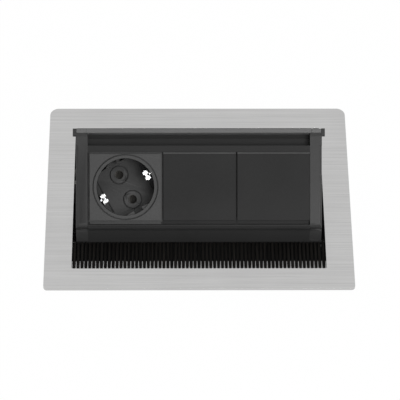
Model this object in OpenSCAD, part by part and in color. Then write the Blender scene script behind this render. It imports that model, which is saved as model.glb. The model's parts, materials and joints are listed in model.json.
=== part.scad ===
// In-desk power module with a tilting socket unit, drawn with the unit swung open.
// X runs across the desk, Y from the user to the back, Z up from the desk surface.
// The origin is the middle of the frame on the desk surface, under the frame plate.

/* [Frame plate] */
// Border of the frame beside the opening, left and right
border_side = 18.4; // [16:0.2:26]
// Border of the frame in front of the opening
border_front = 17; // [16:0.5:24]
// Border of the frame behind the opening
border_rear = 18.5; // [16:0.5:24]
// Thickness of the frame plate
frame_t = 2; // [1.5:0.1:3]
// Outer corner radius of the frame at the back
frame_rear_r = 6; // [2:0.5:10]
// Outer corner radius of the frame at the front
frame_front_r = 2.5; // [1:0.5:8]
// Depth of the cable outlet in front of the closed lid, filled by the brush
outlet_d = 26.1; // [25:0.1:34]
// Length of the threaded fixing holes in the plate
frame_thread = 1.4; // [1:0.1:1.4]

/* [Lid] */
// Distance of the lid's front edge from the pivot axis
lid_front = 72; // [71:0.5:76]
// Distance of the lid's back edge from the pivot axis
lid_tail = 26.9; // [24:0.1:28]
// Thickness of the lid
lid_t = 3; // [2.4:0.1:3.4]
// Height of the lid's top over the pivot axis when it is closed
lid_over_pivot = 18.8; // [17.5:0.1:20]
// Gap between the lid and the opening at each side
lid_side_gap = 0.6; // [0.4:0.1:1.5]
// Gap between the lid and the back edge of the opening
lid_rear_gap = 0.5; // [0.5:0.1:4]
// Radius of the lid's upper back edge, which lets it swing down past the frame
lid_tail_r = 2.9; // [2.4:0.1:2.9]
// Width of the dark strip along each end of the lid
lid_strip_w = 2.4; // [2:0.1:3]
// Length of the metal piece at each end of the lid
lid_end_w = 6.6; // [4:0.1:7]
// Radius of the lid's front edge
lid_edge_r = 0.8; // [0.2:0.1:1]

/* [Tilting unit] */
// Angle that the unit swings from open to closed
open_angle = 60; // [45:1:62]
// Lean of the module face from upright when closed
face_lean = 10; // [4:1:12]
// Set-back of the module face behind the lid's front edge
face_set = 0.5; // [0:0.1:2]
// Height of the upper rail over the modules
rail_h = 4.5; // [3.5:0.1:6]
// Height of the finger recess between the upper rail and the lid
grip_h = 8.5; // [7:0.1:10]
// Depth of the finger recess
grip_d = 8; // [5:0.5:9]
// Height of the dark gap under the modules
sill_gap = 2.2; // [1.8:0.1:3]
// Height of the lower rail
sill_h = 3.7; // [3.7:0.1:5]
// Radius of the lower rail's front edge
sill_r = 3.5; // [2:0.1:3.6]
// Wall thickness of the extruded carrier
wall = 2; // [1.6:0.1:2.4]
// Depth of the carrier behind the module face
box_d = 42; // [40:0.5:44]
// Radius of the curved skirt about the pivot axis
skirt_r = 74.5; // [73.5:0.1:75]
// Thickness of the skirt
skirt_t = 1.6; // [1.2:0.1:2]
// Angle at which the skirt ends
skirt_end = 227; // [224:0.5:229]
// Thickness of the carrier's back cover
cover_t = 2; // [1.5:0.1:2.5]

/* [End caps] */
// Width of the cheek beside the modules
cheek_w = 8; // [6.5:0.1:10]
// Thickness of the cheek's side plate
cheek_t = 3; // [2.5:0.1:4]
// Depth of the full-width front band of the cheek
cheek_band = 10; // [8:0.5:14]
// Distance of the cheek's foot under the module row's middle
cheek_foot = 28.5; // [27.5:0.1:29]
// Radius of the cheek's front foot
cheek_r = 4; // [2:0.5:5]
// Softening of the cheek's outer front edge
cheek_edge = 1.8; // [0.8:0.1:2.4]
// Radius of the boss round the pivot
boss_r = 9; // [8:0.5:9.5]
// Radius of the travel slot's centre line about the pivot
stop_track = 16; // [15:0.5:18]

/* [Modules] */
// Module pitch
pitch = 50; // [48:0.5:52]
// Visible height of a module
module_h = 46.8; // [45:0.2:48]
// Gap between neighbouring modules
module_gap = 1.1; // [0.8:0.1:1.2]
// How far the module row sits to the right of the middle
row_shift = 0.4; // [-0.4:0.1:0.4]
// Depth of the module face under the rails' faces
module_set = 0.2; // [0:0.1:0.6]
// Thickness of the module face plates
module_t = 2.8; // [2:0.1:2.8]
// Height of the retaining tab at the top and bottom of a module
module_tab = 1.6; // [1:0.1:1.7]
// Thickness of the retaining tab
tab_t = 1.5; // [1:0.1:1.5]
// Depth of the module's rear skirt
module_skirt = 12; // [8:0.5:16]
// Wall of the module's rear skirt
module_wall = 1.5; // [1.2:0.1:2]

/* [Socket] */
// Turn of the socket insert in its module
socket_turn = 29; // [0:1:45]
// Radius of the plug recess
recess_r = 19.5; // [19.2:0.1:19.9]
// Depth of the plug recess
recess_d = 17.5; // [17:0.1:18]
// Radius of the insert's visible rim
rim_r = 22.3; // [21.8:0.1:22.6]
// Wall of the insert's cup
cup_wall = 1.5; // [1.2:0.1:1.8]
// Distance between the two pin holes
pin_pitch = 19; // [18.8:0.1:19.2]
// Radius of the pin holes
pin_hole_r = 3; // [2.6:0.1:3.2]
// Radius of the raised boss round each pin hole
pin_boss_r = 5.7; // [5:0.1:6.2]
// Height of the raised boss round each pin hole
pin_boss_h = 1.2; // [0.6:0.1:2]
// Width of a guide rib
rib_w = 5.6; // [4:0.1:6.5]
// Space between the two guide ribs of a pair
rib_gap = 6; // [5.4:0.1:7]
// Distance of the guide ribs' inner faces from the axis
rib_reach = 17; // [16.6:0.1:18]
// Distance of the clip pockets' straight edge from the axis
pocket_reach = 15.2; // [14.5:0.1:16]
// Depth of the clip pockets under the recess's floor
pocket_d = 2; // [1:0.1:2.2]
// Radius at which the earth clips touch the plug
clip_reach = 15; // [14.8:0.1:15.3]
// Width of the slit along an earth clip
clip_slit = 0.9; // [0.6:0.1:1.4]
// Width of an earth clip
clip_w = 6.4; // [5:0.1:7]
// Thickness of the earth clip's strip
clip_t = 1; // [0.8:0.1:1.2]
// Radius of the pedestal that holds the contacts
pedestal_r = 14; // [12:0.5:16]
// Distance between the terminal screws
terminal_pitch = 12; // [10:0.5:13]
// Set-off of the terminal screws from the module's middle
terminal_drop = 16; // [14.5:0.5:17]

/* [Housing] */
// Sheet thickness of the housing and the clamps
sheet = 1.5; // [1.2:0.1:2]
// Overall depth of the housing under the desk surface
housing_h = 76; // [75:0.5:90]
// Space between the tilting unit's lid and the side wall
side_room = 3; // [2.5:0.1:4]
// Space between the back edge of the opening and the back wall
back_room = 12; // [11.5:0.1:14]
// Width of the flanges that carry the frame plate
flange_w = 8; // [7:0.1:9]
// Width of the cable opening in the back wall
rear_cut_w = 110; // [60:1:130]
// Height of the cable opening in the back wall
rear_cut_h = 34; // [20:1:38]
// Width of the cable opening in the floor
floor_cut_w = 130; // [60:1:150]
// Depth of the cable opening in the floor
floor_cut_d = 24; // [16:1:26]
// Distance of the rear cable opening's middle from the floor
rear_cut_rise = 26; // [22:1:30]
// Distance of the floor cable opening from the front wall
floor_cut_set = 6; // [4:0.5:10]
// Corner radius of the cable openings
cut_r = 4; // [1:0.5:6]

/* [Brush] */
// Number of bristle tufts
tufts = 65; // [30:1:75]
// Length of the bristles in front of their backbone
tuft_len = 23; // [18:0.1:23.2]
// Share of the pitch that a tuft fills at its root
tuft_root = 0.5; // [0.3:0.05:0.8]
// Length over which a tuft stays narrow
tuft_stem = 2.4; // [0:0.1:3]
// Length over which a tuft then fans out
tuft_fan = 6; // [3:0.1:8]
// Thickness of the bristle layer at its roots
brush_t = 1.3; // [1:0.1:1.4]
// Depth of the metal ledge that shows between the tuft roots
ledge_d = 9; // [3:0.1:10]

/* [Clamps] */
// Thickness of the desk top as drawn
desk_t = 25; // [18:0.5:30]
// Width of a clamp
clamp_w = 24; // [18:0.5:30]
// Reach of the clamp's foot from the housing wall
clamp_reach = 13; // [8:0.5:14]
// Length of the slot in the clamp
clamp_slot = 22; // [12:0.5:24]
// Thickness of a clamp's sheet
clamp_t = 2; // [1.5:0.1:2.5]
// Distance of the clamp screws under the desk top
clamp_drop = 20; // [16:0.5:24]
// Distance of the clamp screws before the frame's middle
clamp_set = 6; // [0:0.5:12]
// Length of the clamp under its slot
clamp_tail = 5; // [3:0.5:8]

/* [Cable gland] */
// Radius of the supply cord that the gland holds
cord_r = 4; // [3:0.1:4.5]
// Radius of the gland's thread
gland_r = 8; // [7:0.1:9]
// Height of the gland body's hexagon
gland_hex_h = 5; // [4:0.5:7]
// How far the hexagons and the cap stand out round the thread
gland_rim = 3; // [2:0.1:4]
// Wall of the gland body round its bore
gland_wall = 2.4; // [2:0.1:3]
// Height of the gland cap's gripping part
gland_cap_h = 6; // [5:0.5:8]
// Height of the gland cap's cone
gland_cone_h = 4; // [3:0.5:6]
// Height of the gland's lock nut
locknut_h = 4; // [3:0.5:5]

/* [Fixings] */
// Shank radius of the small screws
screw_r = 1.45; // [1.2:0.05:1.5]
// Head radius of the small screws
screw_head_r = 2.7; // [2.2:0.1:2.9]
// Head height of the small screws
screw_head_h = 1.6; // [1.2:0.1:1.8]
// Radius of the pivot pins
pivot_r = 3; // [2.5:0.1:3.5]
// Radius of the stop pins
stop_r = 2; // [1.5:0.1:2.2]
// Shank radius of the clamp screws
clamp_screw_r = 2; // [1.8:0.1:2.5]
// Height of the pivot nuts
pivot_nut_h = 2.6; // [2:0.1:3.2]
// Height of the clamp nuts
clamp_nut_h = 2.4; // [2:0.1:2.6]
// Height of the clamp screws' heads
clamp_head_h = 2.2; // [1.6:0.1:2.6]
// Depth that the end cap screws bite into the carrier
cap_screw_bite = 8; // [6:0.5:12]
// Length of thread that a small screw bites into sheet or rail
screw_bite = 2.6; // [2:0.1:3]

/* [Clearances] */
// Radial clearance of a screw in its hole
screw_play = 0.1; // [0.05:0.05:0.2]
// Radial running clearance of the pivot pins in their bushes
run_play = 0.05; // [0.02:0.01:0.08]
// Gap between pieces that sit against each other with a visible joint
seat_gap = 0.1; // [0.05:0.05:0.2]
// Clearance of the stop pins in their curved slots
stop_play = 0.3; // [0.2:0.05:0.5]
// Space between the socket's rear body and the back cover
base_room = 6; // [4:0.5:8]
// Space that the lid reaches over the cheeks at each side
lid_over = 2; // [1.5:0.1:2.5]

/* [Hidden] */

$fn = 48;
eps = 0.01;
far = 400;

// Across the desk
row_half = 1.5 * pitch;
cheek_x = row_half + cheek_w;
lid_half = cheek_x + lid_over;
open_half = lid_half + lid_side_gap;
frame_w = 2 * (open_half + border_side);
housing_x = lid_half + side_room;

// From front to back
open_d = outlet_d + lid_front + lid_tail + lid_rear_gap;
frame_d = open_d + border_front + border_rear;
open_front = border_front - frame_d / 2;
open_back = frame_d / 2 - border_rear;
housing_y = open_back + back_room;
front_room = housing_y + open_front;
screw_y = housing_y - flange_w / 2;

// Pivot axis
pivot_y = open_back - lid_rear_gap - lid_tail;
pivot_z = frame_t - lid_over_pivot;

// Lid and module face in the unit's own frame: pivot at the origin, lid level
lid_low = lid_over_pivot - lid_t;
strip_edge = 1;
strip_low = lid_low - 2 * strip_edge;
lid_plate_x = lid_half - lid_strip_w;
lid_mid_x = lid_plate_x - lid_end_w;
face_to_lip = module_h / 2 + rail_h + grip_h;
along = [-sin(face_lean), cos(face_lean)];
outward = [-cos(face_lean), -sin(face_lean)];
face_mid = [face_set - lid_front, lid_low] - face_to_lip * along;

// Levels up the face, from the middle of the module row
row_top = module_h / 2;
rail_top = row_top + rail_h;
sill_top = -row_top - sill_gap;
sill_low = sill_top - sill_h;
ledge_s = row_top - 0.9;
ledge_n = module_set + module_t;
ledge_t = wall;
port_r = 2.6;
port_n = 6 - box_d;
port_s = [sill_low + port_r, rail_top - port_r];
web_n = -grip_d;
web_port = [rail_top + port_r + 0.4, web_n - wall - port_r + 0.5];
lip_w = 5;
cover_x = [-row_half + 7, 0, row_half - 7];
cover_low = sill_low;
cover_back = -box_d - cover_t;
flange_over_cover = (lid_low - wall - face_mid[1] + cover_back * sin(face_lean)) / cos(face_lean);
cover_top = min(rail_top, flange_over_cover - seat_gap);
cover_s = [sill_low + wall + lip_w / 2, cover_top - screw_head_r - 0.9];
flange_back = 14;
lid_screw_y = flange_back - 6;

// Socket module
module_w = pitch - module_gap;
cup_r = recess_r + cup_wall;
cup_floor = 3;
rim_t = 2;
insert_low = -recess_d - cup_floor;
strap_n = insert_low - 0.3;
pedestal_n = strap_n - clip_t - 0.3;
base_d = box_d - base_room;
base_floor = 2;
sleeve_r = 2.4;
sleeve_wall = 0.7;
contact_drop = 4;
clip_leg_x = recess_r - 1.2;
gland_x = pitch;
gland_hex_r = gland_r + gland_rim;
gland_bore_r = gland_r - gland_wall;
gland_neck_r = gland_r - 0.5;
gland_neck_h = gland_hex_h + 4;
gland_cap_r = gland_hex_r - 0.6;
gland_cap_top = gland_hex_h + seat_gap + gland_cap_h;

// Side stack between the end cap and the housing wall
bush_flange = 1;
washer_x = cheek_x + bush_flange + run_play;
washer_t = 1;
disc_t = 0.9;
collar_x = washer_x + washer_t + disc_t + 2 * run_play;
outer_x = housing_x + sheet;
bush_wall = 1.5;
bush_r = pivot_r + bush_wall;
collar_r = pivot_r + 2.5;
washer_r = 2.1 * pivot_r;
pin_out = 4;
cap_screw_x = cheek_x - screw_head_h - seat_gap;

// Ends of the travel and the clamps' places
stop_angle = 150;
clamp_y = -clamp_set;
clamp_z = -desk_t - clamp_drop;

// A point of the module face's own frame, in the unit's own frame
function face_pt(s, n) = face_mid + s * along + n * outward;

// A unit vector at an angle
function ray(a) = [cos(a), sin(a)];

// The places of the frame screws across the desk
function frame_screw_x() = [-0.38 * frame_w, 0, 0.38 * frame_w];

// Puts the unit's frame in its open place
module in_unit() {
    translate([0, pivot_y, pivot_z])
        rotate([-open_angle, 0, 0])
            children();
}

// Puts the module face's frame in its place in the unit
module on_face() {
    translate([0, face_mid[0], face_mid[1]])
        rotate([90 + face_lean, 0, 0])
            children();
}

// Puts the module face's frame in its open place
module in_face() {
    in_unit()
        on_face()
            children();
}

// Extrudes a section drawn in Y and Z from one X to another
module across(x0, x1) {
    translate([x0, 0, 0])
        rotate([90, 0, 90])
            linear_extrude(x1 - x0)
                children();
}

// Turns a face section into the unit's section
module face_2d() {
    translate(face_mid)
        rotate(90 + face_lean)
            children();
}

// A rectangle between two corners
module span(a0, a1, b0, b1) {
    translate([a0, b0])
        square([a1 - a0, b1 - b0]);
}

// A box between two corners
module block(x0, x1, y0, y1, z0, z1) {
    translate([x0, y0, z0])
        cube([x1 - x0, y1 - y0, z1 - z0]);
}

// A centred rectangle with round corners
module round_rect(w, d, r) {
    square([w - 2 * r, d], center = true);
    square([w, d - 2 * r], center = true);
    for (x = [-1, 1], y = [-1, 1])
        translate([x * (w / 2 - r), y * (d / 2 - r)])
            circle(r);
}

// A round bar along X
module bar_x(r, x0, x1) {
    translate([x0, 0, 0])
        rotate([0, 90, 0])
            cylinder(r = r, h = x1 - x0);
}

// A tube along X
module tube_x(r_out, r_in, x0, x1) {
    difference() {
        bar_x(r_out, x0, x1);
        bar_x(r_in, x0 - 1, x1 + 1);
    }
}

// A screw with its head's seat at z = 0 and its shank pointing up
module screw_up(length, r = screw_r, head_r = screw_head_r, head_h = screw_head_h) {
    difference() {
        union() {
            translate([0, 0, -head_h])
                cylinder(r = head_r, h = head_h);
            translate([0, 0, -eps])
                cylinder(r = r, h = length + eps);
        }
        translate([0, 0, -head_h - 1])
            cylinder(r = 0.9 * r, h = 1 + head_h / 2, $fn = 6);
    }
}

// One side's copy of a piece drawn for the right
module on_side(side) {
    if (side == "left")
        mirror([1, 0, 0])
            children();
    else
        children();
}

// The frame's outline, with its own radius at the back and at the front
module frame_outline() {
    w = frame_w / 2;
    d = frame_d / 2;
    span(-w, w, frame_front_r - d, d - frame_rear_r);
    span(frame_rear_r - w, w - frame_rear_r, 0, d);
    span(frame_front_r - w, w - frame_front_r, -d, 0);
    for (x = [-1, 1]) {
        translate([x * (w - frame_rear_r), d - frame_rear_r])
            circle(frame_rear_r);
        translate([x * (w - frame_front_r), frame_front_r - d])
            circle(frame_front_r);
    }
}

module frame_plate() {
    color("silver")
        difference() {
            linear_extrude(frame_t)
                difference() {
                    frame_outline();
                    translate([0, (open_front + open_back) / 2])
                        round_rect(2 * open_half, open_d, 1);
                }
            for (x = frame_screw_x(), y = [-screw_y, screw_y])
                translate([x, y, -1])
                    cylinder(r = screw_r + screw_play, h = 1 + frame_thread);
        }
}

module housing() {
    color([0.09, 0.09, 0.1])
        difference() {
            union() {
                difference() {
                    translate([0, 0, -housing_h])
                        linear_extrude(housing_h)
                            round_rect(2 * outer_x, 2 * (housing_y + sheet), sheet + 0.5);
                    translate([0, 0, sheet - housing_h])
                        linear_extrude(housing_h)
                            round_rect(2 * housing_x, 2 * housing_y, 0.5);
                }
                for (side = [0, 180])
                    rotate(side)
                        block(-housing_x + 1, housing_x - 1,
                              housing_y - flange_w, housing_y + eps, -sheet, 0);
            }
            for (x = frame_screw_x(), y = [-screw_y, screw_y])
                translate([x, y, -sheet - 1])
                    cylinder(r = screw_r + screw_play, h = sheet + 2);
            rear_cable_cut();
            floor_cable_cut();
            side_holes();
        }
}

// The cable opening in the back wall
module rear_cable_cut() {
    translate([0, housing_y - 1, rear_cut_rise - housing_h])
        rotate([-90, 0, 0])
            linear_extrude(sheet + 2)
                round_rect(rear_cut_w, rear_cut_h, cut_r);
}

// The cable opening in the floor, under the brush
module floor_cable_cut() {
    translate([0, floor_cut_set + floor_cut_d / 2 - housing_y, -housing_h - 1])
        linear_extrude(sheet + 2)
            round_rect(floor_cut_w, floor_cut_d, cut_r);
}

// Holes for the pivot pins, the stop pins and the clamp screws, in both side walls
module side_holes() {
    for (side = ["left", "right"])
        on_side(side) {
            at_pivot()
                bar_x(pivot_r + run_play, housing_x - 1, outer_x + 1);
            at_stop()
                bar_x(stop_r + run_play, housing_x - 1, outer_x + 1);
            at_clamp()
                bar_x(clamp_screw_r + screw_play, housing_x - 1, outer_x + 1);
        }
}

module at_pivot() {
    translate([0, pivot_y, pivot_z])
        children();
}

module at_stop() {
    at_pivot()
        translate([0, stop_track * cos(stop_angle), stop_track * sin(stop_angle)])
            children();
}

module at_clamp() {
    translate([0, clamp_y, clamp_z])
        children();
}

module frame_screws() {
    color("silver")
        for (x = frame_screw_x()) {
            translate([x, -screw_y, -2 * sheet])
                screw_up(2 * sheet + frame_thread - 0.1);
            translate([x, screw_y, -sheet])
                screw_up(sheet + frame_thread - 0.1);
        }
}

// The light metal strip under the bristle roots
module brush_holder() {
    color([0.7, 0.7, 0.7])
        difference() {
            block(1 - housing_x, housing_x - 1,
                  seat_gap - housing_y, open_front + ledge_d, -2 * sheet, -sheet);
            for (x = frame_screw_x())
                translate([x, -screw_y, -2 * sheet - 1])
                    cylinder(r = screw_r + screw_play, h = sheet + 2);
        }
}

// One tuft of bristles, seen from above, with its root on the Y axis
module tuft(p) {
    root = tuft_root * p / 2;
    full = p / 2 - 0.06;
    wide = tuft_stem + tuft_fan;
    polygon([[-root, -1], [root, -1], [root, tuft_stem], [full, wide], [full, tuft_len],
             [-full, tuft_len], [-full, wide], [-root, tuft_stem]]);
}

module brush_strip() {
    p = 2 * (open_half - 0.3) / tufts;
    back = flange_w - front_room + 0.2;
    color([0.05, 0.05, 0.05])
        translate([0, open_front, -brush_t - seat_gap])
            linear_extrude(brush_t) {
                span(0.3 - open_half, open_half - 0.3, back, 0);
                for (i = [0 : tufts - 1])
                    translate([(i + 0.5 - tufts / 2) * p, 0])
                        tuft(p);
            }
}

module pivot_pin(side) {
    color("silver")
        on_side(side)
            at_pivot() {
                bar_x(pivot_r, row_half + 0.5, outer_x + pin_out);
                bar_x(collar_r, collar_x, housing_x);
            }
}

module pivot_nut(side) {
    color("gray")
        on_side(side)
            at_pivot()
                difference() {
                    translate([outer_x, 0, 0])
                        rotate([0, 90, 0])
                            cylinder(r = 1.9 * pivot_r, h = pivot_nut_h, $fn = 6);
                    bar_x(pivot_r + run_play, outer_x - 1, outer_x + pin_out);
                }
}

module friction_washer(side) {
    color("ivory")
        on_side(side)
            at_pivot()
                tube_x(washer_r, pivot_r + 2 * run_play, washer_x, washer_x + washer_t);
}

// A dished disc spring
module spring_washer(side) {
    inner = pivot_r + 2 * run_play;
    outer = 2 * pivot_r;
    color("silver")
        on_side(side)
            at_pivot()
                translate([washer_x + washer_t + run_play, 0, 0])
                    rotate([0, 90, 0])
                        rotate_extrude()
                            polygon([[inner, disc_t - 0.5], [inner, disc_t], [outer, 0.5], [outer, 0]]);
}

module stop_pin(side) {
    color("silver")
        on_side(side)
            at_stop() {
                bar_x(stop_r, cheek_x - cheek_t + 0.4, outer_x + eps);
                bar_x(stop_r + 1.5, outer_x, outer_x + 1.2);
                bar_x(stop_r + 1, housing_x - 1.2, housing_x);
            }
}

// A bent sheet clamp: its foot presses up under the desk top
module clamp(side) {
    t = clamp_t;
    low = clamp_z - clamp_slot / 2 - clamp_tail;
    color([0.6, 0.6, 0.6])
        on_side(side)
            translate([0, clamp_y, 0])
                difference() {
                    union() {
                        block(outer_x, outer_x + t, -clamp_w / 2, clamp_w / 2, low, -desk_t - t);
                        block(outer_x + t, outer_x + clamp_reach, -clamp_w / 2, clamp_w / 2,
                              -desk_t - t, -desk_t);
                        clamp_bend(t);
                    }
                    translate([outer_x - 1, 0, clamp_z])
                        rotate([0, 90, 0])
                            linear_extrude(t + 2)
                                round_rect(clamp_slot, 2 * (clamp_screw_r + screw_play),
                                           clamp_screw_r + screw_play - eps);
                }
}

// The round bend between the clamp's leg and its foot
module clamp_bend(t) {
    translate([outer_x + t, clamp_w / 2, -desk_t - t])
        rotate([90, 0, 0])
            linear_extrude(clamp_w)
                intersection() {
                    circle(t);
                    span(-t, 0.1, -0.1, t);
                }
}

module clamp_screws() {
    color("silver")
        for (side = ["left", "right"])
            on_side(side)
                at_clamp()
                    translate([outer_x + clamp_t, 0, 0])
                        rotate([0, -90, 0])
                            screw_up(clamp_t + sheet + clamp_nut_h, clamp_screw_r,
                                     2 * clamp_screw_r, clamp_head_h);
}

module clamp_nuts() {
    color("gray")
        for (side = ["left", "right"])
            on_side(side)
                at_clamp()
                    difference() {
                        translate([housing_x - clamp_nut_h, 0, 0])
                            rotate([0, 90, 0])
                                cylinder(r = 2 * clamp_screw_r, h = clamp_nut_h, $fn = 6);
                        bar_x(clamp_screw_r + run_play, housing_x - 4, housing_x + 1);
                    }
}

// The back end of the lid's section, round above so that it swings down past the frame
module lid_tail_section(low) {
    r = lid_tail_r;
    span(-lid_front / 2, lid_tail - r, low, lid_over_pivot);
    span(lid_tail - r, lid_tail, low, lid_over_pivot - r);
    intersection() {
        translate([lid_tail - r, lid_over_pivot - r])
            circle(r);
        span(lid_tail - r, lid_tail + 1, lid_over_pivot - r, lid_over_pivot + 1);
    }
}

// The lid's section, with a softened front edge
module lid_section() {
    r = lid_edge_r;
    lid_tail_section(lid_low);
    span(r - lid_front, 0, lid_low, lid_over_pivot);
    span(-lid_front, r - lid_front, lid_low + r, lid_over_pivot - r);
    for (z = [lid_low + r, lid_over_pivot - r])
        translate([r - lid_front, z])
            circle(r);
}

module lid_panel() {
    color([0.42, 0.42, 0.43])
        in_unit()
            difference() {
                across(-lid_mid_x, lid_mid_x)
                    lid_section();
                for (x = lid_screw_x())
                    translate([x, lid_screw_y, lid_low - 1])
                        cylinder(r = screw_r + run_play, h = 1 + lid_t * 0.7);
            }
}

// The places of the lid screws across the desk
function lid_screw_x() = [-0.8 * row_half, 0, 0.8 * row_half];

module lid_end(side) {
    color([0.42, 0.42, 0.43])
        in_unit()
            on_side(side)
                across(lid_mid_x + seat_gap, lid_plate_x - seat_gap)
                    lid_section();
}

module lid_screws() {
    color("silver")
        in_unit()
            for (x = lid_screw_x())
                translate([x, lid_screw_y, lid_low - wall])
                    screw_up(wall + lid_t * 0.6);
}

// The carrier's section, drawn in the unit's frame
module carrier_section() {
    difference() {
        union() {
            face_2d()
                carrier_face_walls();
            span(-lid_front + 8, flange_back, lid_low - wall, lid_low);
            skirt_section();
        }
        face_2d() {
            for (s = port_s)
                translate([s, port_n])
                    circle(screw_r + run_play);
            translate(web_port)
                circle(screw_r + run_play);
            translate([sill_low + sill_h / 2 + 0.4, 0])
                circle(0.5);
        }
    }
}

// Rails, ledges, walls and screw channels, drawn in the face's frame
module carrier_face_walls() {
    // Lower rail with its round front edge
    intersection() {
        translate([sill_low + sill_r, -sill_r])
            circle(sill_r);
        span(sill_low, sill_top, -2 * sill_r, 0);
    }
    span(sill_low + sill_r, sill_top, -sill_r, 0);
    span(sill_low, sill_top, -ledge_n - ledge_t, -sill_r);
    // Floor, top wall and the ledges behind the modules
    span(sill_low, sill_low + wall, -box_d, -sill_r);
    span(sill_low, -ledge_s, -ledge_n - ledge_t, -ledge_n);
    span(rail_top - wall, rail_top, -box_d, 0);
    span(ledge_s, rail_top, -ledge_n - ledge_t, -ledge_n);
    // Upper rail's lip
    span(row_top + seat_gap, rail_top, seat_gap + tab_t - ledge_n, 0);
    // Back wall of the finger recess
    span(rail_top - 1, face_to_lip - 2.5, web_n - wall, web_n);
    // Lips for the back cover
    span(sill_low, sill_low + wall + lip_w, -box_d, 2 - box_d);
    span(rail_top - wall - lip_w, rail_top, -box_d, 2 - box_d);
    // Screw channels
    for (s = port_s)
        translate([s, port_n])
            circle(port_r);
    translate(web_port)
        circle(port_r);
}

// The curved skirt under the lower rail, about the pivot axis
module skirt_section() {
    intersection() {
        difference() {
            circle(skirt_r, $fn = 180);
            circle(skirt_r - skirt_t, $fn = 180);
        }
        polygon([[0, 0], 2 * skirt_r * ray(skirt_end - 9), 2 * skirt_r * ray(skirt_end)]);
    }
}

// The part of the carrier's section between two levels up the face
module carrier_part(s_low, s_high) {
    color([0.2, 0.2, 0.21])
        difference() {
            in_unit()
                across(-row_half, row_half)
                    intersection() {
                        carrier_section();
                        face_2d()
                            span(s_low, s_high, -far, far);
                    }
            in_face()
                for (x = cover_x, s = cover_s)
                    translate([x, s, -box_d - 1])
                        cylinder(r = screw_r + run_play, h = 4);
            in_unit()
                for (x = lid_screw_x())
                    translate([x, lid_screw_y, lid_low - wall - 1])
                        cylinder(r = screw_r + screw_play, h = wall + 2);
        }
}

// The extrusion that carries the lid and holds the modules' upper edges
module upper_rail() {
    carrier_part(0, far);
}

// The extrusion with the curved skirt that holds the modules' lower edges
module lower_rail() {
    carrier_part(-far, 0);
}

// The end cap's side view, drawn in the unit's frame
module cap_outline() {
    low = -cheek_foot;
    back = -box_d - cover_t;
    polygon([
        face_pt(low + cheek_r, 0), face_pt(face_to_lip, 0), [lid_tail, lid_low],
        [lid_tail, lid_low - 3], [boss_r * 0.9, 0], [0, -boss_r * 0.9],
        face_pt(low + 8, back), face_pt(low, back + 8), face_pt(low, -cheek_r)
    ]);
    translate(face_pt(low + cheek_r, -cheek_r))
        circle(cheek_r);
    circle(boss_r);
}

// The curved travel slot for the stop pin
module stop_slot() {
    r = stop_r + stop_play;
    intersection() {
        difference() {
            circle(stop_track + r, $fn = 96);
            circle(stop_track - r, $fn = 96);
        }
        polygon([[0, 0], far * ray(stop_angle), far * ray(stop_angle + open_angle / 2),
                 far * ray(stop_angle + open_angle)]);
    }
    for (a = [stop_angle, stop_angle + open_angle])
        translate(stop_track * ray(a))
            circle(r - 0.02);
}

module end_cap(side) {
    color([0.16, 0.16, 0.17])
        in_unit()
            on_side(side)
                difference() {
                    union() {
                        across(cheek_x - cheek_t, cheek_x)
                            difference() {
                                cap_outline();
                                stop_slot();
                            }
                        across(row_half, cheek_x)
                            intersection() {
                                cap_outline();
                                face_2d()
                                    span(-far, face_to_lip, -cheek_band, 0);
                            }
                        across(row_half, cheek_x)
                            span(face_set - lid_front, lid_tail, strip_low, lid_low);
                        across(lid_plate_x, lid_half)
                            lid_strip_section();
                        across(row_half, cheek_x)
                            skirt_section();
                        across(row_half, cheek_x - cheek_t) {
                            circle(boss_r);
                            cap_screw_places()
                                circle(port_r);
                        }
                    }
                    bar_x(bush_r + run_play, row_half - 1, cheek_x + 1);
                    across(row_half - 1, cheek_x + 1)
                        cap_screw_places()
                            circle(screw_r + screw_play);
                    across(cap_screw_x, cheek_x + 1)
                        cap_screw_places()
                            circle(screw_head_r + screw_play);
                    on_face()
                        cheek_edge_cut();
                }
}

// What the softened outer edge of the cheek leaves out, in three flats
module cheek_edge_cut() {
    r = cheek_edge;
    top = row_top + rail_h;
    low = cheek_foot + 1;
    translate([cheek_x - r, top, -r])
        rotate([90, 0, 0])
            linear_extrude(top + low)
                polygon([r * ray(90), r * ray(60), r * ray(30), r * ray(0),
                         [r + 1, 0], [r + 1, r + 1], [0, r + 1]]);
}

// The strip along the lid's end, deeper than the lid
module lid_strip_section() {
    r = strip_edge;
    lid_tail_section(strip_low);
    span(-lid_front, 0, strip_low + r, lid_over_pivot);
    span(r - lid_front, 0, strip_low, strip_low + r);
    translate([r - lid_front, strip_low + r])
        circle(r);
}

// The three screw channels of the carrier
module cap_screw_places() {
    face_2d() {
        for (s = port_s)
            translate([s, port_n])
                children();
        translate(web_port)
            children();
    }
}

module end_cap_screws() {
    color("gray")
        in_unit()
            for (side = ["left", "right"])
                on_side(side)
                    for (p = [face_pt(port_s[0], port_n), face_pt(port_s[1], port_n),
                              face_pt(web_port[0], web_port[1])])
                        translate([cap_screw_x, p[0], p[1]])
                            rotate([0, -90, 0])
                                screw_up(cap_screw_x - row_half + cap_screw_bite);
}

// A flanged bush pressed into the end cap
module pivot_bush(side) {
    color("ivory")
        on_side(side)
            at_pivot() {
                tube_x(bush_r, pivot_r + run_play, row_half, cheek_x);
                tube_x(washer_r, pivot_r + run_play, cheek_x, cheek_x + bush_flange);
            }
}

module carrier_cover() {
    color([0.18, 0.18, 0.19])
        in_face()
            difference() {
                block(seat_gap - row_half, row_half - seat_gap, cover_low, cover_top,
                      cover_back, -box_d);
                for (x = cover_x, s = cover_s)
                    translate([x, s, -box_d - cover_t - 1])
                        cylinder(r = screw_r + screw_play, h = cover_t + 2);
                translate([gland_x, 0, -box_d - cover_t - 1])
                    cylinder(r = gland_r + screw_play, h = cover_t + 2);
            }
}

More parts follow.
